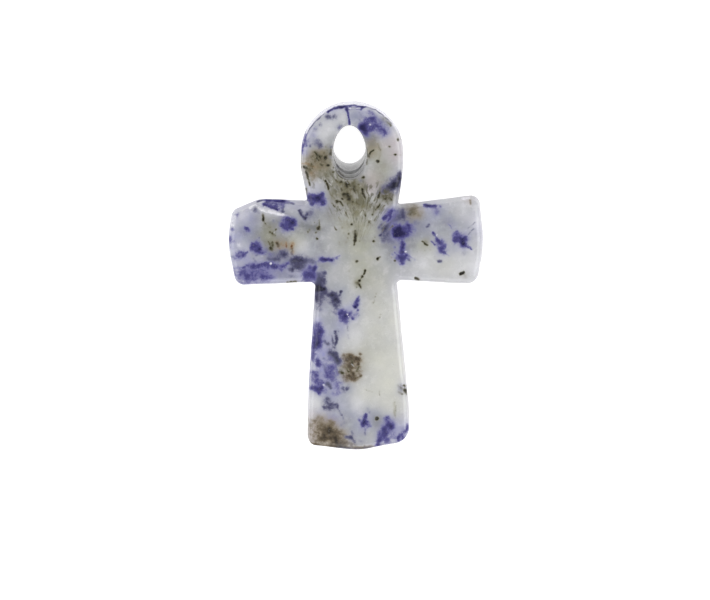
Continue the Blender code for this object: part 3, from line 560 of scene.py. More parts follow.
        (0.16, 1.25, -0.02, 4.2, -0.1, 3.8), (0.35, 0.42, -0.05, 4.4), (0.12, 0.8, -0.05, 4.75, -0.02, 4.3),
        (0.13, 0.42, 0.35, 3.75), (0.07, 0.45, 0.9, 3), (0.13, 1.05, 1.8, 3.7), (0.08, 0.5, 1.95, 4.1),
        (0.07, 0.5, 2.9, 5.2, 2.7, 4.7), (0.06, 0.8, 6.65, 3.75, 6.95, 3.42), (0.3, 0.36, 7, 3.6),
        (0.09, 1.25, 6.92, 3.42, 7.12, 3.28), (0.22, 0.52, -8.5, 2.9), (0.3, 0.5, -8.45, 2.95),
        (0.11, 0.36, -1, 2.75), (0.15, 0.95, 0.1, 1.7), (0.13, 1.2, 2.2, 1.95),
        (0.08, 0.8, 2.25, 2, 2.5, 2.1), (0.07, 0.5, 3.3, 2.5), (0.1, 0.45, 3.55, 2), (0.07, 0.45, 3.7, 2.9),
        (0.11, 0.8, 3.9, 1.75), (0.1, 0.35, 6.9, 2.75), (0.09, 0.55, 7.42, 2.85),
        (0.09, 1.1, -6.8, -0.25, -6, -0.15), (0.11, 0.4, -0.65, 0.75), (0.1, 0.32, -0.6, 0.3),
        (0.1, 0.6, 0.1, -0.9), (0.24, 0.55, 0.22, -0.55), (0.1, 1.2, 0.42, -0.25),
        (0.11, 1.35, 0.38, -0.65, 0.5, -1), (0.05, 0.5, 0.85, 0.35, 0.45, -0.2), (0.11, 0.85, 0.7, 0.15),
        (0.1, 1.05, 0.98, 0.8, 0.92, 0.42), (0.09, 0.8, 6, 0.1, 6.3, 0), (0.07, 0.4, 6.4, -0.1, 6.65, -0.2),
        (0.11, 1.5, 10.42, 0.42, 10.78, 0.62), (0.26, 0.36, 10.95, 0.25), (0.12, 0.28, 1.75, -2.4),
        (0.06, 0.3, 1.85, -2.1, 1.85, -2.5), (0.1, 0.7, 1.95, -1.85), (0.08, 0.8, 2.05, -1.55),
        (0.1, 0.55, 2.4, -3.95), (0.07, 0.6, 2.5, -3.65), (0.1, 0.7, -0.4, -8.3, -0.3, -8.8),
        (0.2, 0.42, -1.65, -9.4), (0.3, 0.45, -1.45, -9.2), (0.17, 1.15, -1.3, -9.5),
        (0.09, 0.7, -0.9, -9, -0.7, -9.4), (0.1, 0.7, 0.3, -8.9, 0.1, -9.4), (0.1, 0.16, 2.4, -9.3),
        (0.08, 0.4, 4.5, -11.1, 4.2, -10.8), (0.1, 1, 4.72, -10.9), (0.05, 0.4, 0.9, -11.2, 1.7, -11.5),
        (0.08, 0.4, 2.4, -11.4, 2.45, -11.8), (0.08, 0.42, 3.95, -12.5),
        (0.1, 0.5, 4.6, -11.75, 4.3, -11.5), (0.15, 1.25, 4.8, -11.35), (0.24, 0.8, 4.95, -11.55),
        (0.12, 1.3, 5.05, -11.2, 5.02, -11.7), (0.15, 2, 2.12, -14.13), (0.05, 0.5, 4.05, -12.9, 4, -14),
        (0.07, 0.8, -1.8, -17.02, 0, -17.08, 1.8, -17, 3.2, -16.72),
    ),
    umber=(         # brown mottling
        (0.1, 0.7, -5, 11.5, -4.5, 11.4, -4.05, 11.1), (0.5, 0.5, -4.5, 11.62), (0.55, 0.5, -4, 12.27),
        (0.3, 0.55, -3.8, 12.72), (0.45, 0.45, -3.6, 11.42), (0.55, 0.55, -3.3, 12.02),
        (0.4, 0.4, -3, 11.32), (0.45, 0.42, -4.5, 10.67), (0.35, 0.4, -4.2, 10.12), (0.4, 0.3, -1, 8.3),
        (0.5, 0.3, -0.7, 8.9), (0.3, 0.55, 2.95, 8.85), (0.22, 0.55, 3.5, 8.95, 3.1, 8.6),
        (0.5, 0.42, 5.3, 7.1), (0.08, 0.7, 11.45, 7.9, 11.55, 7.5), (0.12, 0.5, 4.7, 6.9, 4.9, 6.1),
        (0.12, 0.4, 5.1, 5.7), (0.35, 0.5, 5.2, 6.4), (0.1, 0.45, 5, 5.8, 5.4, 5.1),
        (0.45, 0.42, 5.45, 6.8), (0.45, 0.42, 5.5, 6.3), (0.3, 0.4, 5.8, 6.3), (0.5, 0.4, 6, 6.9),
        (0.3, 0.3, 6.5, 6.4), (0.12, 1.4, -7.85, 3.55, -7.75, 3.15), (0.3, 0.45, -7.5, 3.4),
        (0.3, 0.36, -6.6, 3.1), (0.25, 0.4, -7.9, 2.9), (0.1, 1.15, -6.42, 2.95, -6.3, 2.45),
        (0.29, 0.64, -1.2, -8.9), (0.3, 0.45, -1.2, -8.3), (0.33, 0.68, -0.95, -8),
        (0.24, 0.83, -0.6, -7.8, -0.5, -8.1), (0.45, 0.55, -0.55, -8.8), (0.15, 0.89, -0.3, -8.5),
        (0.19, 0.78, 0.05, -8, 0.25, -8.2), (0.3, 0.45, 0.2, -8.3), (0.15, 0.78, 0.25, -8.6),
        (0.15, 0.89, 0.45, -7.6), (0.3, 0.4, -1.1, -10.2), (0.2, 0.78, -1, -9.7, -0.6, -10),
        (0.45, 0.55, -0.7, -9.5), (0.22, 0.7, -0.4, -10.1), (0.29, 0.51, -0.4, -9.2),
        (0.15, 0.89, -0.2, -9.6), (0.4, 0.5, -0.15, -9.85), (0.2, 0.59, 0.2, -9.9), (0.35, 0.5, 0.3, -9.2),
        (0.12, 0.59, 0.55, -9.8), (0.3, 0.36, -4.5, -14.6), (0.3, 0.36, -3.9, -14.2),
        (0.53, 0.28, -3.3, -14.4), (0.46, 0.36, -3.2, -14.5), (0.6, 0.34, -2.4, -14.9),
        (0.37, 0.3, -2.2, -14.9), (0.5, 0.3, -4.3, -15.6), (0.42, 0.25, -3.9, -16.2),
        (0.7, 0.36, -3.9, -15), (0.21, 0.53, -3.7, -15.6, -3.6, -16.1), (0.63, 0.33, -3.6, -15.1),
        (0.5, 0.36, -3.6, -16.6), (0.48, 0.48, -3.2, -16), (0.18, 0.59, -3.15, -15.7),
        (0.46, 0.44, -3.1, -15.2), (0.13, 1.25, -4.3, -16.75, -3, -16.92, -1.6, -17),
        (0.12, 0.9, -4.2, -16.6, -3, -16.78, -1.5, -16.86), (0.63, 0.4, -2.8, -15.6),
        (0.12, 0.62, -2.65, -15.05), (0.39, 0.56, -2.6, -15.3), (0.46, 0.58, -2.5, -15.9),
        (0.35, 0.55, -2.3, -16.6), (0.13, 0.66, -4.6, -16.4, -2.8, -16.95, -1.2, -17.1, 0.4, -17.2),
        (0.2, 0.79, -2.1, -16, -1.95, -16.7), (0.58, 0.37, -2, -16.2), (0.39, 0.41, -1.6, -15.8),
        (0.32, 0.37, -1.6, -15.6), (0.32, 0.55, -1.5, -16.6), (0.5, 0.34, -1.4, -15.9),
        (0.25, 0.4, -1.2, -16.9), (0.4, 0.34, -1.1, -16.4), (0.33, 0.47, -1, -16.8),
        (0.4, 0.3, -0.4, -16.7), (0.12, 1, -1.5, -16.9, 0, -16.98, 1.6, -16.92, 2.6, -16.76),
        (0.1, 0.5, 0.4, -17.2, 1.8, -17),
    ),
    rust=(          # tan, orange and red-brown
        (0.09, 0.7, -5.25, 11.52, -4.6, 11.4, -4.05, 11.07), (0.2, 0.28, -4.45, 10.52),
        (0.1, 0.65, -7.45, 3.5), (0.35, 0.3, -7.2, 3.35), (0.07, 0.85, -7, 3.6, -6.98, 3.1),
        (0.12, 1, -6.45, 3.2), (0.2, 0.45, -6.3, 3.45), (0.11, 0.9, -7.62, 2.98), (0.12, 0.42, -6.5, 1.95),
        (0.18, 0.4, -6.2, 2.6),
    ),
    white=(         # bright specks, slivers and clean patches; the spot and slivers on the flake's scar are painted highlights
        (0.09, 0.7, -0.55, 17.05), (0.08, 0.5, 0.1, 17), (0.08, 0.4, 1.25, 15.02),
        (0.11, 0.85, 1.47, 15.44), (0.1, 0.4, -4.2, 14.12), (0.09, 0.4, -2.6, 9.47, -2.4, 9.27),
        # painted highlights: the marks on the flake's scar, between x -10.6 and -6.5, are light caught by
        # its facets
        (0.08, 0.45, -1, 9.77, -0.72, 9.47), (0.16, 1, -10.6, 7.02, -10.3, 7.25),
        (0.12, 0.8, -10, 7.3, -9.6, 7.05, -9.2, 6.85), (0.14, 0.8, 10.75, 8.02, 11.4, 8.1),
        (0.22, 0.75, -12.15, 6.2, -12.2, 5.4), (0.12, 0.5, -10.5, 6.7),
        (0.14, 0.5, -9.1, 7.15, -8.5, 6.92, -7.7, 6.55),
        (0.13, 0.95, -9.3, 6.85, -8.6, 6.7, -7.9, 6.5, -7.3, 6.4), (0.1, 0.5, -7.1, 6.35, -6.5, 6.2),
        (0.22, 0.4, 1.5, 6), (0.12, 0.6, -12.35, 4.7), (0.28, 0.4, -11.75, 3.2), (0.09, 0.8, -8.12, 4.55),
        (0.09, 0.45, -7.35, 4.35), (0.09, 0.6, -3.6, 3.95), (0.1, 0.4, 1.75, 3.42), (0.1, 0.85, 8.15, 4.32),
        (0.11, 0.8, 9.15, 3.15), (0.12, 0.6, 11.2, 3.65), (0.2, 0.42, -9.3, 2.1), (0.1, 0.85, -8.47, 1.47),
        (0.12, 0.8, 5.03, 2.68), (0.14, 0.5, 5.15, 1.55), (0.14, 0.5, -11.75, 0.85), (0.1, 0.3, -10.9, 0.6),
        (0.1, 0.35, -9.6, 0.75, -9, 0.65), (0.14, 0.5, -4, -3.3), (0.16, 0.6, -2.3, -3.25),
        (0.08, 0.8, -0.82, -3.62), (0.07, 0.7, -0.7, -3.85), (0.09, 0.6, 2.62, -4), (0.16, 0.6, -4.1, -5.7),
        (0.1, 0.3, -3.6, -5.6), (0.12, 0.3, -4.2, -8.8), (0.18, 0.5, -3.7, -7.55), (0.1, 0.35, -3.3, -8.3),
        (0.06, 0.49, -0.42, -8.6, -0.15, -8.9), (0.06, 0.33, 0.12, -8.75, 0.22, -8.95),
        (0.14, 0.6, -3.75, -9.15), (0.1, 0.3, -3.4, -10.1), (0.13, 0.65, -3.15, -10.75),
        (0.14, 0.4, 5, -14.7), (0.08, 0.35, 2.7, -16.3), (0.08, 0.4, 3, -15.7),
    ),
)

# Broad clouds of the matrix, in the same form: a radius, a strength and then x, y.
clouding = dict(
    lilac=(         # pale and bluish
        (0.6, 0.5, -2.3, 16.8), (0.5, 0.5, -0.1, 16.22), (0.6, 0.35, 0.6, 16.6), (0.6, 0.35, -4.6, 14.52),
        (0.7, 0.5, 2.8, 14.8), (0.5, 0.45, -5, 12.52), (0.9, 0.3, -4.1, 9.32),
        (0.4, 0.4, -12.4, 6.6, -10.2, 7.8), (0.6, 0.4, -8.3, 7.6), (0.5, 0.39, -9, 8.1, -5.2, 7.7),
        (1.2, 0.2, -5.6, 7.2), (0.8, 0.21, -3, 7.5), (2, 0.3, -11, 5.9), (0.8, 0.35, -10.2, 6),
        (0.8, 0.4, 3.4, 5.4), (0.9, 0.4, 3.8, 6.6), (0.8, 0.5, 4.5, 6.3), (1.2, 0.35, 7.6, 6.7),
        (0.7, 0.4, 9.6, 5.6), (1, 0.5, -12, 3.8), (1, 0.35, -11.4, 4.2), (0.9, 0.3, -8, 5),
        (0.9, 0.4, 3.2, 4), (1.2, 0.4, 6.2, 4.8), (0.8, 0.3, 10, 3), (1.5, 0.25, 12, 5),
        (1.6, 0.45, -11.4, 1.6), (0.9, 0.4, -9.4, 2.2), (0.8, 0.85, -8.6, 2.4), (0.8, 0.35, 4, 2.4),
        (0.6, 0.3, 4.6, 2.8), (0.6, 0.35, 8.6, 2.3), (1.8, 0.5, -9.2, 0.9), (1.2, 0.45, -7.5, 0.8),
        (1, 0.3, -7.4, 0.4), (1.3, 0.45, -6, 0.2), (0.8, 0.45, -3.6, -2.8), (0.6, 0.45, -3.8, -4.2),
        (0.8, 0.45, -1.6, -5), (0.7, 0.4, -0.6, -3.3), (0.9, 0.6, -2.9, -6), (1.1, 0.75, -3.2, -7.8),
        (1.1, 0.7, -3, -9.3), (0.8, 0.55, -2.4, -10.6), (0.9, 0.55, -2.8, -11.7), (0.8, 0.4, -1.6, -12.6),
        (0.8, 0.35, -3.4, -13.6), (0.8, 0.4, -2.2, -14.2), (0.7, 0.35, -2.2, -14.4),
        (0.7, 0.35, -0.4, -13.6), (0.8, 0.4, 2.1, -13.9), (0.8, 0.4, 0.6, -15.2), (0.8, 0.5, 2.2, -15.4),
        (1.1, 0.5, 4.3, -15.2),
    ),
    steel=(         # bluish grey
        (0.8, 0.3, -2.6, 16.12), (0.6, 0.65, -0.05, 16.22), (0.9, 0.4, -4.6, 6.3), (1, 0.3, -2.7, 6.9),
        (0.9, 0.21, -2.2, 5.6), (0.9, 0.45, 8.2, 6.6), (1.6, 0.3, 8.8, 5.4), (1.1, 0.7, -10.8, 4.6),
        (1.3, 0.3, -4.4, 3), (0.7, 0.35, 3.6, 3.6), (1, 0.5, 6.6, 5), (0.8, 0.5, -11.6, 2.8),
        (0.8, 0.3, 9.6, 2.6), (1, 0.3, -7.2, 0.2), (0.9, 0.4, -1.4, -1.2), (1.2, 0.35, -2.6, -3.6),
        (1, 0.4, -1.8, -5.4), (1, 0.4, -1.2, -9.8), (0.7, 0.5, -3, -12), (1.2, 0.4, -1.2, -12.9),
        (0.9, 0.4, -0.6, -11.4), (0.9, 0.3, 1.2, -12.8), (0.9, 0.35, 5.2, -11.2), (1, 0.45, -0.6, -14.6),
        (1, 0.3, 2, -14.8), (1, 0.4, 2.2, -14), (1, 0.35, 0.4, -15.4), (1.1, 0.35, 1.2, -16.4),
    ),
    grey=(          # the duller parts of the milk, and painted shade round the bore's lip
        # painted shade: the clouds here and on the next two lines that lie beside the bore, at x near -2.5
        # and 1.3, darken the milk round its lip
        (0.7, 0.35, 3.3, 15.72), (0.5, 0.4, -2.6, 14), (0.4, 0.45, -2.5, 14.2, -2.65, 13.2, -2.5, 12.2),
        (0.6, 0.4, -2.2, 13.72), (0.9, 0.5, 1.2, 14.1), (0.45, 0.6, 1, 14.6, 1.35, 14, 1.5, 13),
        (0.4, 0.5, 1.3, 14.3, 1.45, 13.2, 1.35, 12.2), (0.62, 0.75, 1.45, 13.26), (0.76, 0.76, 1.58, 14),
        (0.6, 0.5, -2.3, 12.52), (0.7, 0.45, 1.2, 12.72), (0.7, 0.4, -4.3, 9.8), (0.9, 0.4, 0.2, 9.4),
        (1, 0.25, 2.6, 10.12), (0.9, 0.4, 2.6, 9.32), (0.7, 0.3, -3.6, 8.9), (0.75, 0.62, 2.95, 8.35),
        (0.6, 0.4, 3.6, 8.2), (0.7, 0.4, 3.9, 7), (0.8, 0.4, -9.6, 6.4), (1.3, 0.7, -8.6, 5.2),
        (0.9, 0.56, -7.8, 5.3), (0.8, 0.3, -6.2, 6.2), (1.1, 0.5, -5.6, 5.2), (0.85, 0.72, -5.3, 5.1),
        (0.93, 0.7, -3.95, 5.1), (0.9, 0.45, -3.9, 6.4), (0.9, 0.4, 0.8, 5.4), (1, 0.4, 2.2, 6.4),
        (1, 0.4, 2.6, 5.4), (0.9, 0.5, 3.2, 5.2), (0.8, 0.4, 4.4, 5.9), (0.9, 0.4, 4.6, 6.6),
        (1, 0.9, 5.3, 5.4), (0.8, 0.6, 5.3, 5.3), (0.9, 0.24, 5.6, 6.6), (0.8, 0.3, 6, 6.4),
        (1, 0.3, 6.2, 5.6), (1.3, 0.35, 9.6, 5.2), (0.8, 0.3, -11, 3.9), (0.9, 0.3, -10, 3.9),
        (1.2, 0.35, -9.2, 3.4), (0.87, 0.67, -9, 4), (1.1, 0.65, -7.4, 4.4), (0.92, 0.58, -6.8, 3.8),
        (0.8, 0.35, -5.6, 4.2), (0.9, 0.4, -5.6, 3.2), (1, 0.3, -3.9, 3.4), (0.9, 0.25, -1.6, 3),
        (0.8, 0.35, -0.8, 3.8), (1.3, 0.22, 0.4, 4), (0.8, 0.4, 0.7, 3.8), (1.2, 0.2, 1.6, 3),
        (0.9, 0.45, 2.6, 3.8), (1.1, 0.65, 3.6, 4.2), (0.9, 0.4, 3.8, 3.2), (1.05, 0.85, 5.1, 3.8),
        (1.2, 0.3, 6.2, 3), (1.3, 0.3, 9.2, 3.2), (0.8, 0.58, -9.7, 2.2), (1.05, 0.94, -8.3, 2.4),
        (0.8, 0.7, -8.3, 2.4), (1, 0.4, -7.6, 2.2), (0.9, 0.6, -6.9, 2.3), (0.9, 0.5, -6.8, 1.8),
        (1, 0.25, -3.6, 1.4), (1.1, 0.3, -3.2, 2.4), (0.8, 0.3, -0.8, 2.3), (1.2, 0.2, 0.8, 2.6),
        (0.9, 0.3, 3.8, 2), (0.8, 0.4, 3.8, 2.3), (1, 0.25, -8.2, 0.6), (1, 0.4, -7.4, 0.6),
        (1.2, 0.3, -5.6, -0.4), (0.8, 0.3, -3.8, 0.7), (1.1, 0.35, -3.2, 0.8), (1.1, 0.35, -2.6, 0.4),
        (0.8, 0.3, -2.2, 0.6), (1, 0.35, 9.6, 0.4), (1, 0.35, -4, -2.2), (0.9, 0.4, -3.4, -1.6),
        (0.8, 0.4, 2.2, -14.3), (0.8, 0.4, -3.6, -17), (0.8, 0.35, -0.6, -17), (0.7, 0.4, 0.2, -17),
        (0.8, 0.35, 0.8, -15.6), (0.9, 0.65, 2.25, -15.2),
        (0.45, 0.6, -4.4, -17, -2, -17.3, 0.4, -17.4, 2.6, -17.1), (0.6, 0.35, 2.3, -17.1),
    ),
    olive=(         # under the neck's streaks and the small veins
        (0.7, 0.5, -4.9, 11.4), (1.1, 0.6, -3.9, 11.8), (0.8, 0.55, -3.4, 12.6), (1, 0.55, -3.3, 11.52),
        (0.7, 0.5, -2.6, 12.52), (0.8, 0.35, 1.9, 12.72), (0.9, 0.25, 3.2, 11.6), (0.9, 0.4, -4.2, 10.32),
        (0.6, 0.6, -3.2, 10.92), (0.87, 0.64, -2.65, 10.46), (0.85, 0.53, -1.9, 9.52),
        (0.9, 0.9, -0.9, 9.2), (0.8, 0.65, 0.4, 9.2), (1, 0.3, 2, 9.6), (1.3, 0.28, 2.4, 10.8),
        (0.8, 0.5, -2.2, 8.4), (0.8, 0.45, -1.6, 8.4), (0.9, 0.3, -1.2, 7.2), (1, 0.8, -0.5, 8.2),
        (1.1, 0.5, -0.2, 9), (0.9, 0.35, 0.2, 7.2), (0.9, 0.65, 0.6, 7.6), (0.8, 0.45, 2, 7.2),
        (0.8, 0.65, 2.9, 8.3), (0.9, 0.45, -8.6, 5.6), (1.2, 0.3, -2.2, 6.4), (0.9, 0.3, -1.2, 5.4),
        (0.9, 0.6, 0.2, 6.6), (0.9, 0.5, 0.4, 5.4), (0.8, 0.35, 5.2, 5.7), (0.9, 0.79, 5.6, 6.7),
        (0.7, 0.55, -8.8, 3.8), (1, 0.3, -8.4, 3.2), (1, 0.3, 0, 4.6), (0.6, 0.35, 7, 3.6),
        (0.4, 0.5, 0.25, -0.4), (0.16, 0.7, 0.35, -0.75), (1.2, 0.3, 0.8, 0.4), (1.4, 0.22, 2, -2.2),
        (0.9, 0.25, 0.9, -8.8), (0.6, 0.3, -1.6, -9.4), (1, 0.3, -1.3, -14.8),
        (0.1, 0.9, 3.9, -12.6, 3.9, -13.8),
    ),
    tan=(           # under the brown patches
        (0.6, 0.3, 1.6, 13.12), (0.8, 0.45, 1.8, 13.22), (0.8, 0.4, -4.4, 11), (1, 0.5, -3.9, 12),
        (0.6, 0.4, 1.5, 12.6), (0.5, 0.14, 5, 7.2), (0.4, 0.45, 11.3, 8),
        (0.2, 0.3, -8.8, 6.95, -8.2, 6.8, -7.5, 6.5), (0.9, 0.37, 5.6, 6.85), (0.5, 0.25, 6.2, 6.5),
        (0.7, 0.45, -7.2, 3.3), (0.5, 0.55, -6.4, 3.4), (0.3, 0.4, -6.3, 2.5), (0.9, 0.6, -0.6, -8.8),
        (0.6, 0.4, 0.2, -8.1), (0.7, 0.5, -0.4, -9.8), (0.7, 0.45, -3.4, -14.6), (0.6, 0.45, -4.2, -15.8),
        (0.9, 0.4, -3.4, -15.4), (1.3, 0.45, -3.2, -15.2), (1, 0.7, -3, -15.6), (0.8, 0.55, -1.8, -16.3),
        (0.9, 0.4, -1.4, -16.2),
    ),
    pink=(          # warm and pale
        (1.2, 0.6, 3.8, 13.32), (0.9, 0.35, 4.2, 12), (0.7, 0.3, -5.1, 10.92), (0.8, 0.4, 1.8, 10.12),
        (0.8, 0.35, 1.6, 9), (0.6, 0.4, 11.2, 8.2), (0.6, 0.5, -4.4, -14.6), (0.5, 0.4, -4.3, -13.6),
        (0.6, 0.5, -4.4, -15.4), (0.5, 0.4, -4.3, -16.2),
    ),
    cream=(         # the clean part of the shaft
        (0.8, 0.3, -5.6, 3.6), (1, 0.35, 2.2, -0.8), (1.6, 0.3, 9.6, 0.6), (1.4, 0.5, 2.2, -3),
        (1, 0.6, 4, -4.4), (1.4, 0.6, 2, -5.2), (0.9, 0.6, 4.2, -2.4, 4.4, -9.2), (1.2, 0.3, 0.2, -7),
        (1.6, 0.75, 2.6, -8.2), (1, 0.6, 4.6, -8.6), (1.8, 0.8, 3.2, -10.6), (0.8, 0.4, -3.9, -12.6),
        (1.4, 0.6, 1, -11.8), (1.2, 0.5, 3.6, -12.8), (0.9, 0.4, 5, -12.6), (1, 0.35, 1.6, -15.8),
    ),
    frost=(         # clean and pale; on the flake's scar, painted highlight
        (0.8, 0.4, -1.9, 16.12), (1, 0.55, -3, 14.82), (0.9, 0.4, -4, 9.42),
        # painted highlight: the line on the next row from -9.5, 7.4 and the one below it from -9.2, 7.2 lie
        # on the flake's scar, as light caught by its facets
        (0.2, 0.7, -9.5, 7.4, -9, 7.25), (0.7, 0.4, -11.6, 6.2), (0.9, 0.5, -9, 6.8),
        (0.3, 0.85, -9.2, 7.2, -8.6, 6.97, -7.8, 6.6), (1, 0.35, 11, 6.6), (0.8, 0.5, 12.2, 5.6),
        (0.9, 0.4, -11.4, 3.2), (0.8, 0.5, -5.2, 3.2), (0.6, 0.3, -9.6, 2), (1.2, 0.5, 7, 1.6),
        (1.6, 0.6, 9.6, 1.2), (1.2, 0.5, 11.8, 1.4), (0.8, 0.4, -2.4, 0.4), (1.2, 0.5, 0, -6),
        (0.7, 0.5, -4, -12.4), (0.8, 0.5, 0.2, -12.6),
    ),
    halo=(          # painted light: the head's side, seen past its edge, made pale as if lit
        (0.3, 0.85, -5.2, 14.4, -4.98, 15.05, -4.15, 16.14, -3.05, 16.97, -1.78, 17.5, -0.42, 17.68, 1.12,
         17.5, 2.4, 16.97, 3.49, 16.14, 4.32, 15.05),
    ),
    sage=(          # greenish grey of the middle
        (1, 0.35, 1.9, 12.6), (1.3, 0.3, 2.4, 10.4), (1.2, 0.3, -0.6, 6), (1, 0.4, -8.6, 4.4),
        (1, 0.35, -6, 4), (1.2, 0.26, -1.4, 4.2), (1.7, 0.49, 0.4, 3.2), (1.4, 0.38, 1, 5),
        (0.9, 0.4, 6.8, 3.4), (1.5, 0.41, 0.7, 1.2), (1.6, 0.25, 8.5, 1.4), (1.2, 0.3, 0.5, -0.6),
        (1.4, 0.26, 2.4, 0.2), (1.6, 0.3, 1.2, -7),
    ),
    violet=(        # under the large blue patches
        (0.7, 0.5, 2.4, 15.3), (0.4, 0.4, 11, 4.2), (0.35, 0.5, -9.6, 1.3, -8.6, 1.4), (0.5, 0.4, 4.7, 2.3),
        (0.7, 0.7, -11, 0.4), (0.5, 0.5, -10.6, 0.2), (0.8, 0.55, -10.9, 0.6, -9.6, 0.5),
        (0.7, 0.65, -9.9, 0.35), (0.45, 0.4, -9.2, 1), (0.6, 0.5, -9, 0.3),
        (0.7, 0.4, -8.8, 0.7, -7.9, 0.9), (0.4, 0.5, -3.9, -4.6), (0.5, 0.6, -4, -9.8),
        (0.5, 0.55, -3.9, -11), (0.45, 0.5, 3.6, -14.4), (0.5, 0.6, 2.6, -16), (0.55, 0.6, 3.2, -15),
    ),
)

# Where fine streaks run, in the same form. They run down a fan whose point is given below.
streaks = (
    (1.5, 0.90, -0.5, 8.9), (1.4, 0.85, 1.3, 8.2), (1.3, 0.70, -2.4, 10.2), (1.3, 0.75, 0.4, 6.6),
    (1.2, 0.75, 2.9, 8.7), (0.9, 0.50, -3.9, 9.6), (1.1, 0.55, -1.9, 7.0), (1.0, 0.50, 2.4, 6.4),
    (1.2, 0.40, 0.2, 4.6), (0.7, 0.60, 4.0, 9.6), (0.9, 0.45, 3.6, 5.9),
)

painting = dict(
    tilt=5.5,             # the markings are read from so many degrees towards the head
    level=5.8,            # on a plane this high
    fan=(0.15, 2.6),      # where the streaks of the neck run together
    fanSize=(5.0, 3.5),   # how long a radian round it counts, and how much shorter the way out
    bends=((0.95, 0.06), (0.30, 0.05)),      # size and reach of the waves that bend the markings
    pull=0.25,            # how far markings near the edge are drawn out over it, and from where
    pullReach=0.55,
    pullHead=(11.0, 9.0),     # y over which that ends round the head
    fold=4.9,             # below this height a side carries the markings of the face turned over
    foldDepth=(1.0, 0.5),     # depth inside the outline where that sets in
    foldAway=(0.5, 0.0),      # and how far a side may face the head
    lowSide=(4.4, 1.9),   # heights over which a side becomes hidden from the front
    turnedAway=(0.0833, 0.0),     # and how little it may face the camera for that
    cloudsHidden=0.6,     # share of the clouds that such a place loses
    thin=0.8,             # depth over which light comes through the edge
    bore=(-0.53, 12.7, 3.2),      # middle and reach of the bore
    rings=((3.70, 0.10), (4.46, 0.12), (4.95, 0.07), (5.30, 0.10)),     # the drill's: height, width
    ringSteep=(0.8, 0.4667),      # upward part of the normal over which the rings appear, then the colour of the bore's wall and the painted shade of the other walls
    boreSteep=(0.75, 0.125),      # colour of the bore's wall and that of the other walls
    wallSteep=(0.5, 0.0455),
    ways=dict(            # growth of a radius, share and reach of the haze, unevenness and its size
        blue=(1.42, 0.62, 0.70, 0.32, 0.45), slate=(1.42, 0.62, 0.70, 0.32, 0.45),
        dark=(1.15, 0.30, 0.45, 0.35, 0.40), umber=(1.45, 0.60, 0.60, 0.50, 0.30),
        rust=(1.25, 0.38, 0.45, 0.35, 0.35), white=(1.20, 0.20, 0.30, 0.30, 0.40),
    ),
)


# Smooth unevenness between about -1 and 1: random values on a square net of the given size,
# blended between its points. Two finer nets are added, each half the size and half the share.
def drift(across, up, size, seed):
    net = 64
    table = np.random.default_rng(seed).uniform(-1, 1, (net, net))
    total = np.zeros(len(across))
    for finer in (1, 2, 4):
        u, v = across / size * finer + 900.3, up / size * finer + 901.7      # off the net's corner
        i, j = np.floor(u).astype(int), np.floor(v).astype(int)
        s, t = u - i, v - j
        s, t = s * s * (3 - 2 * s), t * t * (3 - 2 * t)
        i, j, iNext, jNext = i % net, j % net, (i + 1) % net, (j + 1) % net
        near = table[i, j] * (1 - s) + table[iNext, j] * s
        far = table[i, jNext] * (1 - s) + table[iNext, jNext] * s
        total += (near * (1 - t) + far * t) / finer
    return total / 1.2        # it seldom passes 1


# Squared distance of each place from the line through a marking's stops.
def farSquared(across, up, line):
    stops = np.array(line).reshape(-1, 2)
    near = np.full(len(across), np.inf)
    for begin, end in zip(stops, np.vstack([stops[1:], stops[-1:]])):
        run = end - begin
        length = max(run @ run, 1e-9)
        share = np.clip(((across - begin[0]) * run[0] + (up - begin[1]) * run[1]) / length, 0, 1)
        far = (across - begin[0] - share * run[0]) ** 2 + (up - begin[1] - share * run[1]) ** 2
        near = np.minimum(near, far)
    return near


# Strength of a kind of marking. Each mark gives strength * exp(-(distance / radius)^2), and marks
# that meet run together as the root of the sum of squares. Round them all lies a wider, fainter
# haze, made in the same way. Waves make both uneven.
def markStrength(marks, across, up, way, seed):
    grow, share, reach, uneven, size = way
    core = np.zeros(len(across))
    haze = np.zeros(len(across))
    for radius, strength, *line in marks:
        far = farSquared(across, up, line)
        core += (strength * np.exp(-far / (radius * grow) ** 2)) ** 2
        faint = share * min(strength, 1) * min(radius / (0.6 * reach), 1)      # thin marks, less
        haze += (faint * np.exp(-far / (radius ** 2 + reach ** 2))) ** 2
    core = np.sqrt(core) * (1 + uneven * drift(across, up, size, seed))
    haze = np.sqrt(haze) * (1 + uneven * drift(across, up, 2 * size, seed + 1))
    return np.hypot(core, haze)


# Clouds build up together: 1 - product of (1 - strength * exp(-(distance / radius)^2)).
def cloudStrength(clouds, across, up):
    left = np.ones(len(across))
    for radius, strength, *line in clouds:
        left *= 1 - strength * np.exp(-farSquared(across, up, line) / radius ** 2)
    return 1 - left


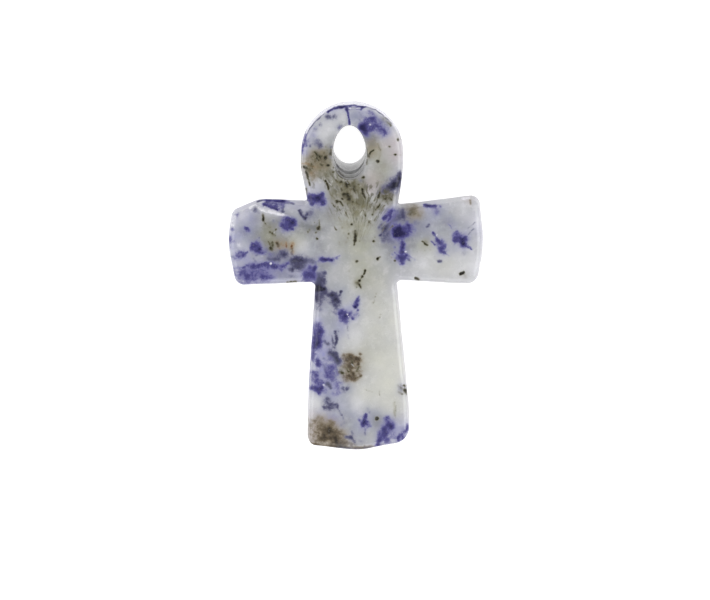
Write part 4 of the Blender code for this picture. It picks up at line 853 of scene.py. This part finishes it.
# Writes on each point how strong every kind of marking and cloud is there. Places are read along
# the camera's slant: up + (level - height) * tan(tilt). Near the edge they are drawn inwards by
# pull * exp(-(depth / reach)^2), and on a side by as much as they lie below the fold, which turns
# the face over; two waves bend them. Markings fade where the front does not show them. Also
# written: the way round and out from the fan's point, how near the edge is, and which wall it is.
def markStone(piece, spots, points, outward, painting):
    tilt = math.radians(painting["tilt"])
    height = spots[:, 2]
    across = spots[:, 0].copy()
    up = spots[:, 1] + (painting["level"] - height) * math.tan(tilt)
    normals = np.empty(len(spots) * 3)
    piece.data.vertices.foreach_get("normal", normals)
    normals = normals.reshape(-1, 3)
    facing = normals @ [0, math.sin(tilt), math.cos(tilt)]
    steep = np.abs(normals[:, 2])
    hidden = ramp(height, painting["lowSide"]) * ramp(facing, painting["turnedAway"])

    arc, rise = painting["fanSize"]
    away = np.stack([across, up], axis=1) - painting["fan"]
    turn = np.arctan2(away[:, 0], away[:, 1]) * arc
    way = np.stack([turn, np.hypot(*away.T) / rise, height], axis=1) * mm
    piece.data.attributes.new("fan", "FLOAT_VECTOR", "POINT").data.foreach_set("vector", way.ravel())

    depth, nearest = depthInside(spots[:, :2], points, outward)
    edge = outward[nearest]
    pull = painting["pull"] * np.exp(-((np.maximum(depth, 0) / painting["pullReach"]) ** 2))
    pull *= ramp(up, painting["pullHead"])
    pull += np.maximum(painting["fold"] - height, 0) * ramp(depth, painting["foldDepth"])
    pull *= ramp(edge[:, 1], painting["foldAway"])
    across -= pull * edge[:, 0]
    up -= pull * edge[:, 1]
    flat = across.copy(), up.copy()
    for number, (size, reach) in enumerate(painting["bends"]):
        across += reach * drift(*flat, size, 10 + number)
        up += reach * drift(*flat, size, 20 + number)

    boreX, boreY, reach = painting["bore"]
    inBore = np.hypot(spots[:, 0] - boreX, spots[:, 1] - boreY) < reach
    rings = sum(np.exp(-(((height - z) / wide) ** 2)) for z, wide in painting["rings"])
    values = dict(
        ring=rings * inBore * ramp(steep, painting["ringSteep"]),
        boreWall=inBore * ramp(steep, painting["boreSteep"]),
        wall=~inBore * ramp(steep, painting["wallSteep"]),
        streak=cloudStrength(streaks, across, up) * (1 - hidden),
        thin=np.exp(-((np.maximum(depth, 0) / painting["thin"]) ** 2)),
        hidden=hidden,
    )
    for number, (name, marks) in enumerate(markings.items()):
        amount = markStrength(marks, across, up, painting["ways"][name], 30 + 2 * number)
        values[name] = amount * (1 - hidden)
    for name, clouds in clouding.items():
        amount = cloudStrength(clouds, across, up)
        values[name] = amount * (1 - painting["cloudsHidden"] * hidden)
    for name, amount in values.items():
        piece.data.attributes.new(name, "FLOAT", "POINT").data.foreach_set("value", amount)


# A socket of a material, on which + - * and / add Math nodes.
class Wire:
    def __init__(self, finish, socket):
        self.finish = finish
        self.socket = socket

    def sum(self, operation, first, second):
        return self.finish.node("ShaderNodeMath", {"operation": operation}, {0: first, 1: second})

    def __add__(self, other):
        return self.sum("ADD", self, other)

    def __sub__(self, other):
        return self.sum("SUBTRACT", self, other)

    def __rsub__(self, other):
        return self.sum("SUBTRACT", other, self)

    def __mul__(self, other):
        return self.sum("MULTIPLY", self, other)

    def __truediv__(self, other):
        return self.sum("DIVIDE", self, other)

    def over(self, other):        # the larger of the two
        return self.sum("MAXIMUM", self, other)

    __radd__ = __add__
    __rmul__ = __mul__


def tint(red, green, blue):       # a colour as a screen shows it, 0 to 255, made linear
    shown = np.array([red, green, blue]) / 255
    linear = np.where(shown <= 0.04045, shown / 12.92, ((shown + 0.055) / 1.055) ** 2.4)
    return (*linear.tolist(), 1.0)


# A material under construction.
class Finish:
    def __init__(self, name):
        self.material = bpy.data.materials.new(name)
        self.material.use_nodes = True
        self.tree = self.material.node_tree
        self.tree.nodes.clear()

    # Any node: its type, its settings, the values or links of its sockets, and the output wanted.
    # A colour ramp's stops are given among its settings.
    def node(self, kind, settings=None, sockets=None, output=0):
        made = self.tree.nodes.new(kind)
        for name, value in (settings or {}).items():
            if name == "stops":
                self.fillRamp(made.color_ramp.elements, value)
            else:
                setattr(made, name, value)
        for name, value in (sockets or {}).items():
            if isinstance(value, Wire):
                self.tree.links.new(value.socket, made.inputs[name])
            else:
                made.inputs[name].default_value = value
        return Wire(self, made.outputs[output])

    def fillRamp(self, elements, stops):
        while len(elements) < len(stops):
            elements.new(1.0)
        for element, (position, colour) in zip(elements, stops):
            element.position = position
            element.color = colour

    def mix(self, first, second, amount):        # from the first colour to the second
        return self.node("ShaderNodeMix", {"data_type": "RGBA"}, {0: amount, 6: first, 7: second}, 2)

    def value(self, name):        # what was written on the mesh under this name
        return self.node("ShaderNodeAttribute", {"attribute_name": name}, output="Fac")

    def smooth(self, value, low, high, top=1.0):        # 0 below low, top above high
        settings = {"interpolation_type": "SMOOTHSTEP"}
        sockets = {"Value": value, "From Min": low, "From Max": high, "To Max": top}
        return self.node("ShaderNodeMapRange", settings, sockets)

    def noise(self, place, scale, detail, rough, shift=0.0, bend=0.0):
        moved = self.node("ShaderNodeMapping", {}, {"Vector": place, "Location": (shift, 0, 0)})
        return self.node("ShaderNodeTexNoise", {}, {
            "Vector": moved, "Scale": scale, "Detail": detail, "Roughness": rough, "Distortion": bend,
        })

    # The end of a material. Given a share of matt, it loses its reflections where that is 1.
    def surface(self, sockets, matt=None):
        shader = self.node("ShaderNodeBsdfPrincipled", {}, sockets)
        if matt:
            dull = self.node("ShaderNodeBsdfPrincipled", {}, {**sockets, "Specular IOR Level": 0.0})
            shader = self.node("ShaderNodeMixShader", {}, {0: matt, 1: shader, 2: dull})
        end = self.tree.nodes.new("ShaderNodeOutputMaterial")
        self.tree.links.new(shader.socket, end.inputs["Surface"])
        return self.material


stoneLook = dict(
    grains=dict(                  # scale, detail, roughness, shift and bend of each noise
        broad=(450, 4, 0.60, 0.0, 0.0), cloudy=(1300, 5, 0.62, 0.3, 0.3),
        grain=(3200, 4, 0.65, 0.7, 0.5), fine=(8000, 3, 0.60, 1.1, 0.0),
    ),
    streakGrain=(3000, 4, 0.62, 1.7, 0.0),
    cloudGrain=(900, 4, 0.60),    # shifted for each cloud and, below, for each kind of marking
    spreadGrain=(380, 4, 0.60),
    milk=tint(190, 191, 193), shade=tint(167, 168, 174), light=tint(214, 214, 217),
    clouds=dict(                  # colour and patchiness
        lilac=(tint(150, 150, 196), 0.45), steel=(tint(142, 147, 166), 0.45),
        grey=(tint(128, 130, 134), 0.45), olive=(tint(116, 112, 88), 0.45),
        tan=(tint(146, 128, 100), 0.45), pink=(tint(188, 174, 177), 0.3),
        cream=(tint(212, 212, 202), 0.1), frost=(tint(224, 224, 228), 0.2),
        # painted light: the first colour on the next line makes the head's side pale, as if lit
        halo=(tint(236, 234, 248), 0.0), sage=(tint(178, 178, 158), 0.3),
        violet=(tint(114, 110, 162), 0.2),
    ),
    edge=tint(228, 227, 238),     # where the stone is thin and light comes through
    # painted shade: the colour the steep sides are darkened towards, save where the head's side is painted
    # pale
    wall=tint(172, 171, 178),
    streakDark=tint(98, 96, 78), streakLight=tint(206, 207, 204),
    rampPlaces=(0.13, 0.33, 0.60, 1.0),
    rampTop=1.5,                  # strength at which a marking has its last colour
    ramps=dict(                   # each kind's colours at those places
        umber=((164, 155, 136), (136, 124, 104), (98, 87, 72), (50, 44, 37)),
        rust=((182, 162, 132), (152, 122, 88), (110, 78, 54), (60, 42, 34)),
        slate=((156, 158, 176), (118, 118, 144), (80, 79, 108), (38, 37, 54)),
        blue=((158, 160, 192), (122, 120, 168), (80, 76, 132), (40, 37, 78)),
        dark=((150, 147, 128), (108, 104, 84), (62, 59, 46), (24, 24, 21)),
    ),
    white=tint(238, 237, 243), fleck=tint(110, 108, 106),
    boreWall=tint(176, 175, 175), ring=tint(66, 66, 62),
    polish={                      # what stays the same all over
        "IOR": 1.5, "Subsurface Weight": 0.35, "Subsurface Radius": (1.0, 0.98, 1.1),
        "Subsurface Scale": 0.0004,
    },
    bump={"Strength": 0.35, "Distance": 0.00002},
)


# The polished stone, coloured in turn by milk with noise, the clouds, the thin edge painted paler as
# if light came through it and the walls darkened with painted shade, the neck's streaks, every kind
# of marking, the white ones, flecks and the bore. Among the clouds and the white marks are painted
# light and shade: the head's side made pale, highlights on the flake's scar and shade round the
# bore's lip. Noise adds to a marking's strength, colour = ramp(strength / top), and strength also
# says how much it covers. On hidden places noise stands in for clouds and markings. Strong ones are
# matt at the edge and walls.
def stoneFinish(look):
    finish = Finish("polishedStone")
    place = finish.node("ShaderNodeTexCoord", output="Object")
    fan = finish.node("ShaderNodeAttribute", {"attribute_name": "fan"}, output="Vector")
    broad, cloudy, grain, fine = [finish.noise(place, *sizes) for sizes in look["grains"].values()]
    streak = finish.noise(fan, *look["streakGrain"])
    hidden, thin, wall = [finish.value(name) for name in ("hidden", "thin", "wall")]

    colour = finish.mix(look["milk"], look["shade"], finish.smooth(broad, 0.40, 0.64, 0.6))
    colour = finish.mix(colour, look["light"], finish.smooth(cloudy, 0.48, 0.64, 0.5))
    for number, (name, (shade, patchy)) in enumerate(look["clouds"].items()):
        patch = finish.noise(place, *look["cloudGrain"], 2 + number)
        amount = finish.value(name) * (1 - patchy + 1.7 * patchy * finish.smooth(patch, 0.32, 0.66))
        amount = amount.over(hidden * finish.smooth(patch, 0.50, 0.72, 0.4))
        colour = finish.mix(colour, shade, amount)
    # painted light: paler where the stone is thin, as if light came through it
    colour = finish.mix(colour, look["edge"], thin * 0.25)
    # painted shade: the steep sides are darkened towards the wall colour, except where the head's side is
    # painted pale
    shadedWall = wall * (1 - finish.value("halo"))
    colour = finish.mix(colour, look["wall"], shadedWall * 0.35)

    zone = finish.value("streak")
    lines = finish.smooth(zone * finish.smooth(streak, 0.47, 0.60), 0.05, 0.75, 0.8)
    colour = finish.mix(colour, look["streakDark"], lines)
    lines = finish.smooth(zone * finish.smooth(streak, 0.44, 0.32), 0.1, 0.8, 0.6)
    colour = finish.mix(colour, look["streakLight"], lines)

    ragged = finish.smooth(0.58 * cloudy + 0.36 * grain + 0.06 * fine, 0.40, 0.60) - 0.5
    for number, (name, shades) in enumerate(look["ramps"].items()):
        spread = finish.noise(place, *look["spreadGrain"], 9 + number)
        strength = finish.value(name).over(hidden * finish.smooth(spread, 0.56, 0.72))
        strength = strength + ragged * finish.smooth(strength, 0.0, 0.6, 0.4)
        stops = [(where, tint(*shade)) for where, shade in zip(look["rampPlaces"], shades)]
        share = strength / look["rampTop"]
        shade = finish.node("ShaderNodeValToRGB", {"stops": stops}, {"Fac": share})
        colour = finish.mix(colour, shade, finish.smooth(strength, 0.0, 0.8))
    # the white marks, among them painted highlights on the flake's scar
    bright = finish.smooth(finish.value("white") * (1 + ragged), 0.2, 0.9, 0.85)
    colour = finish.mix(colour, look["white"], bright)
    colour = finish.mix(colour, look["fleck"], finish.smooth(fine * 0.6 + grain * 0.4, 0.55, 0.66, 0.2))

    colour = finish.mix(colour, look["boreWall"], finish.value("boreWall") * 0.6)
    ring = finish.smooth(finish.value("ring") * (0.6 + 0.8 * cloudy), 0.2, 1.0, 0.8)
    colour = finish.mix(colour, look["ring"], ring)
    rough = 0.20 + 0.14 * finish.smooth(grain, 0.45, 0.75) + 0.25 * shadedWall
    relief = 0.5 * grain + 0.35 * fine - 0.8 * finish.smooth(finish.value("dark"), 0.8, 1.3)
    normal = finish.node("ShaderNodeBump", {}, {**look["bump"], "Height": relief})
    marked = finish.value("dark")
    for name in ("slate", "blue", "umber"):
        marked = marked.over(finish.value(name))
    matt = finish.smooth(marked, 0.3, 1.0) * (0.8 * thin).over(wall)
    return finish.surface({
        **look["polish"], "Base Color": colour, "Roughness": rough, "Normal": normal,
    }, matt)


print("shaping the stone")
spots, faces, points, outward = stoneSurface(slab, bore, flake, pits)
stone = makeObject("ankhStone", spots, faces)
triangles = sum(len(part) * (part.shape[1] - 2) for part in faces)
print("stone has", len(spots), "points and", triangles, "triangles")

print("marking the stone")
markStone(stone, spots, points, outward, painting)
stone.data.materials.append(stoneFinish(stoneLook))
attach(stone, "root")
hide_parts("ankh")

studio = dict(
    floorSize=1200.0,
    floorDown=0.01,
    floor=tint(150, 150, 150),
    glow=tint(255, 255, 255),
    floorGlow=0.95,       # lit from below, as on a light table
    world=0.15,           # strength of the even light all round
    lamps=(               # place round the stone and above it, size, and power
        (-400.0, 0.0, 290.0, 420.0, 1.30),
        (400.0, 0.0, 290.0, 420.0, 1.50),
        (0.0, 400.0, 290.0, 420.0, 0.55),
        (0.0, -400.0, 290.0, 420.0, 0.95),
    ),
)


# A pale sheet just below the back of the stone.
def buildFloor(studio):
    half, down = studio["floorSize"] / 2, studio["floorDown"]
    corners = [(-half, -half, -down), (half, -half, -down), (half, half, -down), (-half, half, -down)]
    floor = makeObject("floor", np.array(corners), [np.array([[0, 1, 2, 3]])])
    finish = Finish("paleSheet")
    floor.data.materials.append(finish.surface({
        "Base Color": studio["floor"], "Roughness": 0.9, "Specular IOR Level": 0.0,
        "Emission Color": studio["glow"], "Emission Strength": studio["floorGlow"],
    }))


# A round lamp that points at the stone.
def addLamp(name, place, size, power):
    data = bpy.data.lights.new(name, "AREA")
    data.shape = "DISK"
    data.size = size * mm
    data.energy = power
    lamp = bpy.data.objects.new(name, data)
    lamp.location = Vector(place) * mm
    lamp.rotation_euler = (-lamp.location).to_track_quat("-Z", "Y").to_euler()
    bpy.context.scene.collection.objects.link(lamp)


# Even light all round and the lamps.
def lightStudio(studio):
    world = bpy.data.worlds.new("softRoom")
    world.use_nodes = True
    backdrop = world.node_tree.nodes["Background"]
    backdrop.inputs["Color"].default_value = (1, 1, 1, 1)
    backdrop.inputs["Strength"].default_value = studio["world"]
    bpy.context.scene.world = world
    for number, (x, y, z, size, power) in enumerate(studio["lamps"]):
        addLamp("softLamp%d" % number, (x, y, z), size, power)


pictureView = dict(
    width=710,            # points across the picture
    scale=9.97,           # points a millimetre takes at the aim
    tilt=5.5,             # degrees from straight down, towards the head
    distance=1200.0,
    aim=(-0.07, -2.47, 3.0),
    sensor=36.0,
)


# The camera looks down, tilted towards the head. Its focal length for the sensor's width is
# distance * scale / width of the picture.
def placeCamera(view):
    data = bpy.data.cameras.new("camera")
    data.sensor_width = view["sensor"]
    data.lens = view["sensor"] * view["distance"] * view["scale"] / view["width"]
    data.clip_start = 0.01
    camera = bpy.data.objects.new("camera", data)
    tilt = math.radians(view["tilt"])
    back = Vector((0, math.sin(tilt), math.cos(tilt)))
    camera.location = (Vector(view["aim"]) + back * view["distance"]) * mm
    camera.rotation_euler = (-tilt, 0, 0)
    bpy.context.scene.collection.objects.link(camera)
    bpy.context.scene.camera = camera


print("building the studio")
buildFloor(studio)
lightStudio(studio)
placeCamera(pictureView)
bpy.context.scene.view_settings.view_transform = "Standard"
